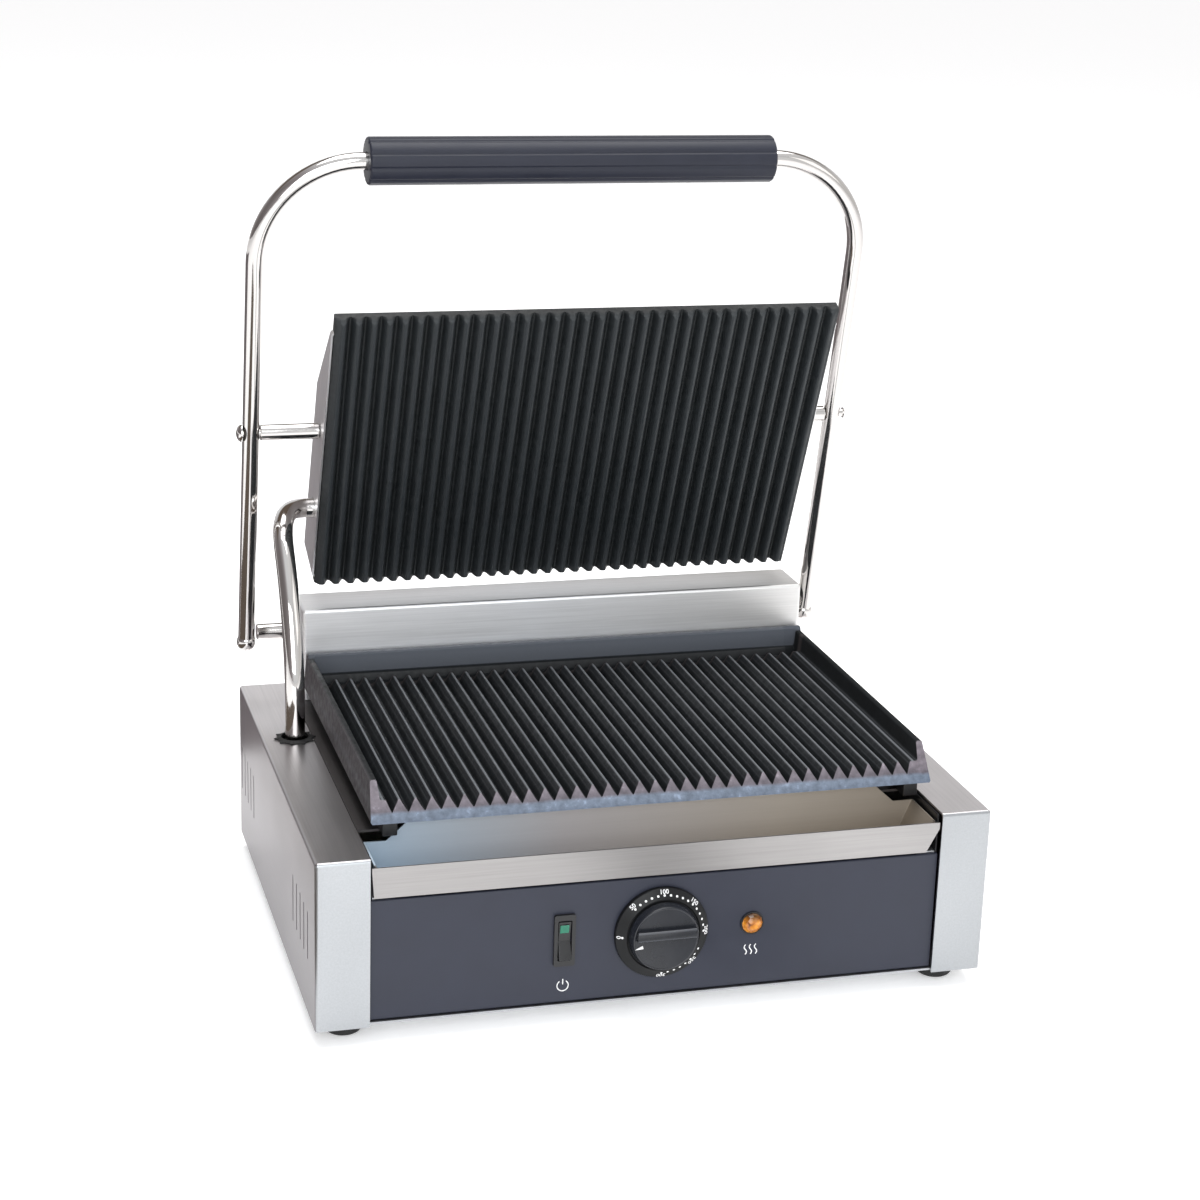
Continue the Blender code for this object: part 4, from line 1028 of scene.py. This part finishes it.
def plate_pivots():
    for side, way in (("left", -1), ("right", 1)):
        node = f"pivot_spacer_{side}"
        low, high = extent(node, PLATE)
        radius = (high.y - low.y) / 2
        length = high.x - low.x
        profile = [(0.0030, 0.0), (radius - 0.0006, 0.0), (radius, 0.0006), (radius, length - 0.0006),
                   (radius - 0.0006, length), (0.0030, length)]
        spacer = moved(turned(node, profile, 36, closed=True), Z_TO_RIGHT)
        show(moved(spacer, at(low.x, 0.0, 0.0)), PLATE, "upper_plate", CHROME, (node,))

        node = f"pivot_screw_{side}"
        low, high = extent(node, PLATE)
        head = (high.y - low.y) / 2 * (1.0 if way < 0 else 0.62)
        length = high.x - low.x
        dome = 0.0036 if way < 0 else 0.0014        # the right one is nearly flush
        profile = [(0.0, length)]
        for k in range(1, 9):
            angle = math.pi / 2 * k / 8
            profile.append((head * math.sin(angle), length - dome + dome * math.cos(angle)))
        profile += [(0.0025, length - dome), (0.0025, 0.0004), (0.0021, 0.0), (0.0, 0.0)]
        pin = turned(node, profile, 36)
        bottom = length - 0.0016
        cut(pin, turned("socket", ((0.0, bottom), (0.0018, bottom), (0.0018, length + 0.001),
                                   (0.0, length + 0.001)), 6))
        moved(pin, Matrix.Rotation(math.radians(90 * way), 4, "Y"))
        start = high.x if way < 0 else low.x
        show(moved(pin, at(start, 0.0, 0.0)), PLATE, "upper_plate", CHROME, (node,))


# ---- the controls ----
def switch():
    low, high = extent("switch_body", BASE)
    middle = (low + high) / 2
    width, tall = high.x - low.x, high.z - low.z
    face = extent("front_panel", BASE)[0].y

    def upright(name, wide, high, radius, start, end):
        return slab(name, around(middle.x, middle.z, rounded_box(wide, high, radius)), start, end, "XZ")

    body = upright("switch_body", width, tall, 0.0012, low.y, face)
    join(body, upright("rear", width - 0.0028, tall - 0.0048, 0.0006, face - 0.0010, high.y))
    cut(body, upright("pocket", 0.0084, 0.0254, 0.0008, low.y - 0.004, face + 0.006))
    show(soften(body, 0.0004, 3), BASE, "base", BLACK, ("switch_body",))

    low, high = extent("rocker", BASE)
    pivot = Vector((middle.x, face - 0.0012, middle.z))
    half, lift, deep, wide = 0.0118, 0.0024, 0.0024, 0.0038
    outline = [(0.0003, 0.0006), (0.0003, -0.0006), (-lift, -half), (deep, -half), (deep, half),
               (-lift, half)]
    paddle = slab("rocker", outline, -wide, wide, "YZ")
    tilt = Matrix.Rotation(math.radians(-6.0), 4, "X")
    where = BASE @ Matrix.Translation(pivot)
    outline = [(-0.0004, 0.0046), (-lift + 0.0002, half - 0.0018), (-lift - 0.0003, half - 0.0020),
               (-0.0014, 0.0048)]
    lens = slab("rocker_lens", outline, -0.0030, 0.0024, "YZ")
    show(soften(moved(paddle, tilt), 0.0005, 3), where, "rocker", ROCKER_BLACK, ("rocker",))
    show(soften(moved(lens, tilt), 0.0003, 2), where, "rocker", GREEN)


# the dial's cone: where it starts beside the knob, and how far it runs and falls to the rim
CONE_R, CONE_TOP, CONE_RUN, CONE_RISE = 0.0228, 0.0060, 0.0054, 0.0032
DOT_AT, DOT_R = 0.0248, 0.00072
NUMBER_AT, NUMBER_SIZE = 0.0266, 0.0038


def on_cone(place, angle, radius, lift):
    """Axes on the dial's cone at an angle, Z out of its surface and X away from the centre."""
    slope = math.atan2(CONE_RISE, CONE_RUN)
    where = at(radius, 0.0, CONE_TOP - (radius - CONE_R) * CONE_RISE / CONE_RUN)
    tilt = Matrix.Rotation(slope, 4, "Y") @ at(0.0, 0.0, lift)
    return place @ Matrix.Rotation(angle, 4, "Z") @ where @ tilt


def dial_mark(name, text, angle, place):
    """A generic number printed on the dial, upright along its radius."""
    curve = bpy.data.curves.new(name, "FONT")
    curve.body = text
    curve.size = NUMBER_SIZE
    curve.extrude = 0.00003
    curve.offset = 0.00005
    curve.align_x = "CENTER"
    curve.align_y = "CENTER"
    curve.resolution_u = 3
    obj = linked(name, curve)
    where = on_cone(place, angle, NUMBER_AT, 0.00004) @ Matrix.Rotation(math.radians(-90), 4, "Z")
    show(obj, where, "base", PRINT)


def thermostat():
    low, high = extent("dial_plate", BASE)
    centre = (low + high) / 2
    radius = (high.x - low.x) / 2
    profile = [(0.0048, 0.0), (radius, 0.0), (radius, CONE_TOP - CONE_RISE - 0.0005),
               (CONE_R + CONE_RUN, CONE_TOP - CONE_RISE), (CONE_R, CONE_TOP), (CONE_R - 0.0004, CONE_TOP),
               (CONE_R - 0.0010, CONE_TOP - 0.0008), (0.0048, CONE_TOP - 0.0008)]
    dial = turned("dial_plate", profile, 96, closed=True)
    place = BASE @ at(centre.x, high.y, centre.z) @ Z_TO_FRONT
    show(dial, place, "base", DIAL_BLACK, ("dial_plate",), angle=25.0)
    bm = bmesh.new()
    for angle in [135.0 - 9.0 * i for i in range(26) if not 15 < i < 18] + [180.0]:
        where = on_cone(Matrix.Identity(4), math.radians(angle), DOT_AT, 0.00002)
        rings = []
        for level in (0.0, 0.00004):
            rim = [(DOT_R * a, DOT_R * b, level) for a, b in arc((0.0, 0.0), 1.0, 0, 330, 11)]
            rings.append([bm.verts.new(where @ Vector(point)) for point in rim])
        bm.faces.new(rings[0])
        bm.faces.new(reversed(rings[1]))
        for k in range(len(rings[0])):
            bm.faces.new((rings[0][k], rings[0][k - 1], rings[1][k - 1], rings[1][k]))
    show(from_bmesh("dial_dots", bm), place, "base", PRINT)
    for i in range(7):
        dial_mark(f"dial_number_{i + 1}", str(50 * i), math.radians(180.0 - 45.0 * i), place)


def knob():
    low, high = extent("knob", KNOB)
    rim, deep = (high.x - low.x) / 2, high.z
    face = deep - 0.0028
    profile = [(0.0, face - 0.0003), (rim - 0.0026, face - 0.0003), (rim - 0.0020, face),
               (rim - 0.0014, face - 0.0002), (rim - 0.0009, face - 0.0012), (rim - 0.0002, 0.0004),
               (rim, 0.0), (0.0036, 0.0), (0.0036, 0.0038), (0.0, 0.0038)]
    body = turned("knob", profile, 96)
    half, up = rim - 0.0034, 0.0035
    outline = [(up - 0.0036, face - 0.0010), (up + 0.0034, face - 0.0010), (up + 0.0032, deep - 0.0006),
               (up + 0.0028, deep), (up + 0.0018, deep - 0.0002), (up, deep - 0.0006),
               (up - 0.0018, deep - 0.0004), (up - 0.0028, deep - 0.0001), (up - 0.0033, deep - 0.0008)]
    join(body, slab("bar", outline, -half, half, "YZ"))
    dark = (0.012, 0.0135, 0.018)
    look, tree, shader = new_look("knob_plastic", dark, 0.26)
    # painted highlight: light lines along the bar's two top edges
    edge_highlight = graded(tree, height(tree, "Z", deep - 0.0006, deep), ((0.45, 0.0), (0.85, 1.0)))
    soft = graded(tree, texture(tree, 60.0), ((0.3, 0.8), (0.7, 1.2)))
    give(shader, Base_Color=mixed(tree, edge_highlight, times(tree, dark, soft), (0.060, 0.064, 0.074)))
    bumped(tree, shader, ((texture(tree, 1800.0), 0.06, 0.0002),))
    show(soften(body, 0.0003, 2, 50.0), KNOB, "knob", look, ("knob",))
    mark = slab("knob_mark", ((-rim + 0.0016, 0.0), (-rim + 0.0066, -0.0010), (-rim + 0.0066, 0.0010)),
                face - 0.0004, face + 0.00015, "XY")
    pointer = Matrix.Rotation(math.radians(15.5), 4, "Z")
    show(moved(mark, pointer), KNOB, "knob", PRINT)


def lamp():
    low, high = extent("indicator_lens", BASE)
    centre = (low + high) / 2
    radius = (high.x - low.x) / 2
    dome = high.y - low.y
    profile = [(0.0, dome), (radius * 0.42, dome * 0.90), (radius * 0.74, dome * 0.60),
               (radius * 0.92, dome * 0.26), (radius, dome * 0.18), (radius, 0.0), (0.0, 0.0)]
    lens = turned("indicator_lens", profile, 12)
    place = BASE @ at(centre.x, high.y, centre.z) @ Z_TO_FRONT
    show(soften(lens, 0.0002, 2, 15.0), place, "base", AMBER, ("indicator_lens",), angle=15.0)
    profile = ((radius + 0.0001, 0.0), (radius + 0.0009, 0.0), (radius + 0.0008, 0.0008),
               (radius + 0.0001, 0.0008))
    ring = turned("indicator_bezel", profile, 40, closed=True)
    show(ring, place, "base", BLACK)


# ---- the pieces that keep their CAD shape ----
def refined(node, body, look, width=0.0003):
    """A CAD node's own shape with its edges rounded."""
    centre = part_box(node)[0]
    piece = moved(from_node(node, node), Matrix.Translation(-centre))
    if width:
        soften(piece, width)
    show(piece, Matrix.Translation(centre), body, look, (node,))


def inner_pieces():
    for side in ("left", "right"):
        refined(f"inner_wall_{side}", "base", BLACK, 0.0002)
        refined(f"tray_runner_{side}", "base", ZINC, 0.0002)
        for end in ("front", "rear"):
            refined(f"plate_support_{end}_{side}", "base", BLACK, 0.0006)
        refined(f"shaft_collar_{side}", "handle", ZINC)
        refined(f"pivot_block_{side}", "upper_plate", ZINC)
    refined("top_deck", "base", DECK_STEEL, 0.0)
    refined("gland_locknut", "base", BLACK)
    refined("cord_gland", "base", BLACK, 0.0005)
    refined("terminal_block", "base", CERAMIC)
    refined("thermostat_body", "base", ZINC, 0.0006)
    refined("indicator_holder", "base", BLACK)
    refined("lower_heater_clamp", "base", PLAIN_STEEL)
    refined("upper_heater_clamp", "upper_plate", PLAIN_STEEL)
    refined("conduit_locknut", "upper_plate", BRASS, 0.0005)
    plain = {"torsion_spring_left": ZINC, "torsion_spring_right": ZINC, "lower_heater": ZINC,
             "upper_heater": ZINC, "upper_heater_lead": BLACK, "capillary": BRASS,
             "thermostat_spindle": BRASS}
    for node, look in plain.items():
        data = frame["nodes"][node].data
        data.materials.clear()
        data.materials.append(look)


# ---- floor, light and camera ----
def studio():
    bm = bmesh.new()
    bmesh.ops.create_grid(bm, x_segments=2, y_segments=2, size=18.0)
    floor = from_bmesh("floor", bm)
    look, tree, shader = new_look("floor_paper", (0.96, 0.96, 0.96), 0.9, Emission_Strength=0.32,
                                  Emission_Color=(1.0, 1.0, 1.0, 1.0))
    bumped(tree, shader, ((texture(tree, 300.0), 0.02, 0.0005),))
    floor.data.materials.append(look)

    world = bpy.data.worlds.new("studio")
    bpy.context.scene.world = world
    world.use_nodes = True
    tree = world.node_tree
    background = tree.nodes["Background"]
    where = add(tree, "ShaderNodeTexCoord")
    parts = add(tree, "ShaderNodeSeparateXYZ", {"Vector": where.outputs["Generated"]})
    rising = graded(tree, parts.outputs["Z"], ((0.0, 1.0), (0.30, 1.0), (0.55, 0.80), (0.80, 1.0)))
    across = math_node(tree, "MULTIPLY_ADD", parts.outputs["X"], 0.5, 0.5)
    sides = graded(tree, across, ((0.0, (0.20, 0.18, 0.18)), (0.20, (0.40, 0.37, 0.38)),
                                  (0.37, (0.94, 0.96, 0.98)), (0.70, (0.98, 0.99, 1.0)),
                                  (1.0, (0.80, 0.79, 0.78))))
    sky = times(tree, rising, sides)
    behind = graded(tree, parts.outputs["Y"], ((0.20, 0.0), (0.45, 1.0)))
    band = graded(tree, parts.outputs["Z"], ((0.42, 0.0), (0.50, 1.0), (0.80, 1.0), (0.88, 0.0)))
    sky = mixed(tree, times(tree, behind, band), sky, (0.16, 0.125, 0.10))
    tree.links.new(sky, background.inputs["Color"])
    background.inputs["Strength"].default_value = 1.0

    for name, place, size, power, colour in (
            ("front", (-0.8, -3.0, 1.5), 2.2, 60.0, (0.95, 0.98, 1.0)),
            ("right", (2.2, -1.4, 1.6), 1.4, 6.0, (1.0, 0.99, 0.97)),
            ("top", (0.2, 0.4, 2.8), 2.2, 60.0, (1.0, 1.0, 1.0))):
        light = bpy.data.lights.new(name, "AREA")
        light.shape = "SQUARE"
        light.size = size
        light.energy = power
        light.color = colour
        source = linked(name, light)
        source.location = place
        aim = Vector((0.0, 0.0, 0.2)) - Vector(place)
        source.rotation_euler = aim.to_track_quat("-Z", "Y").to_euler()
    # cards lying on the floor that only reflections see: brown beside the press, grey behind and before it
    for name, tone, low, high in (("card_left", (0.095, 0.072, 0.055), (-0.62, -0.50), (-0.28, 0.30)),
                                  ("card_rear", (0.16, 0.14, 0.145), (-2.20, 0.32), (-0.16, 2.80)),
                                  ("card_front", (0.42, 0.42, 0.42), (0.035, -0.62), (0.115, -0.20))):
        card = block(name, (*low, 0.001), (*high, 0.003))
        card.data.materials.append(new_look(name, tone, 0.9)[0])
        card.visible_camera = False
        card.visible_diffuse = False
        card.visible_shadow = False
        card.visible_transmission = False
    bpy.context.scene.view_settings.view_transform = "Standard"


def camera():
    yaw, pitch, roll = (math.radians(angle) for angle in (-16.19, 17.62, 1.92))
    back = Vector((math.sin(yaw) * math.cos(pitch), -math.cos(yaw) * math.cos(pitch), math.sin(pitch)))
    right = (-back).cross(Vector((0.0, 0.0, 1.0))).normalized()
    up = right.cross(-back)
    across = right * math.cos(roll) + up * math.sin(roll)
    upward = up * math.cos(roll) - right * math.sin(roll)
    data = bpy.data.cameras.new("camera")
    data.sensor_width = 36.0
    data.lens = 76.2255
    obj = linked("camera", data)
    axes = Matrix((across, upward, back)).transposed().to_4x4()
    obj.matrix_world = Matrix.Translation(BASE @ Vector((-0.42088, -1.44792, 0.67898))) @ axes
    bpy.context.scene.camera = obj


camera()
studio()
side_cover("left_cover", -1)
side_cover("right_cover", 1)
grommet()
front_panel()
icons()
rear_and_floor()
feet()
drip_tray()
lower_plate()
upper_plate()
upper_cover()
conduit()
housing()
shaft_and_bushes()
handle_rod()
grip()
plate_pivots()
switch()
thermostat()
knob()
lamp()
inner_pieces()
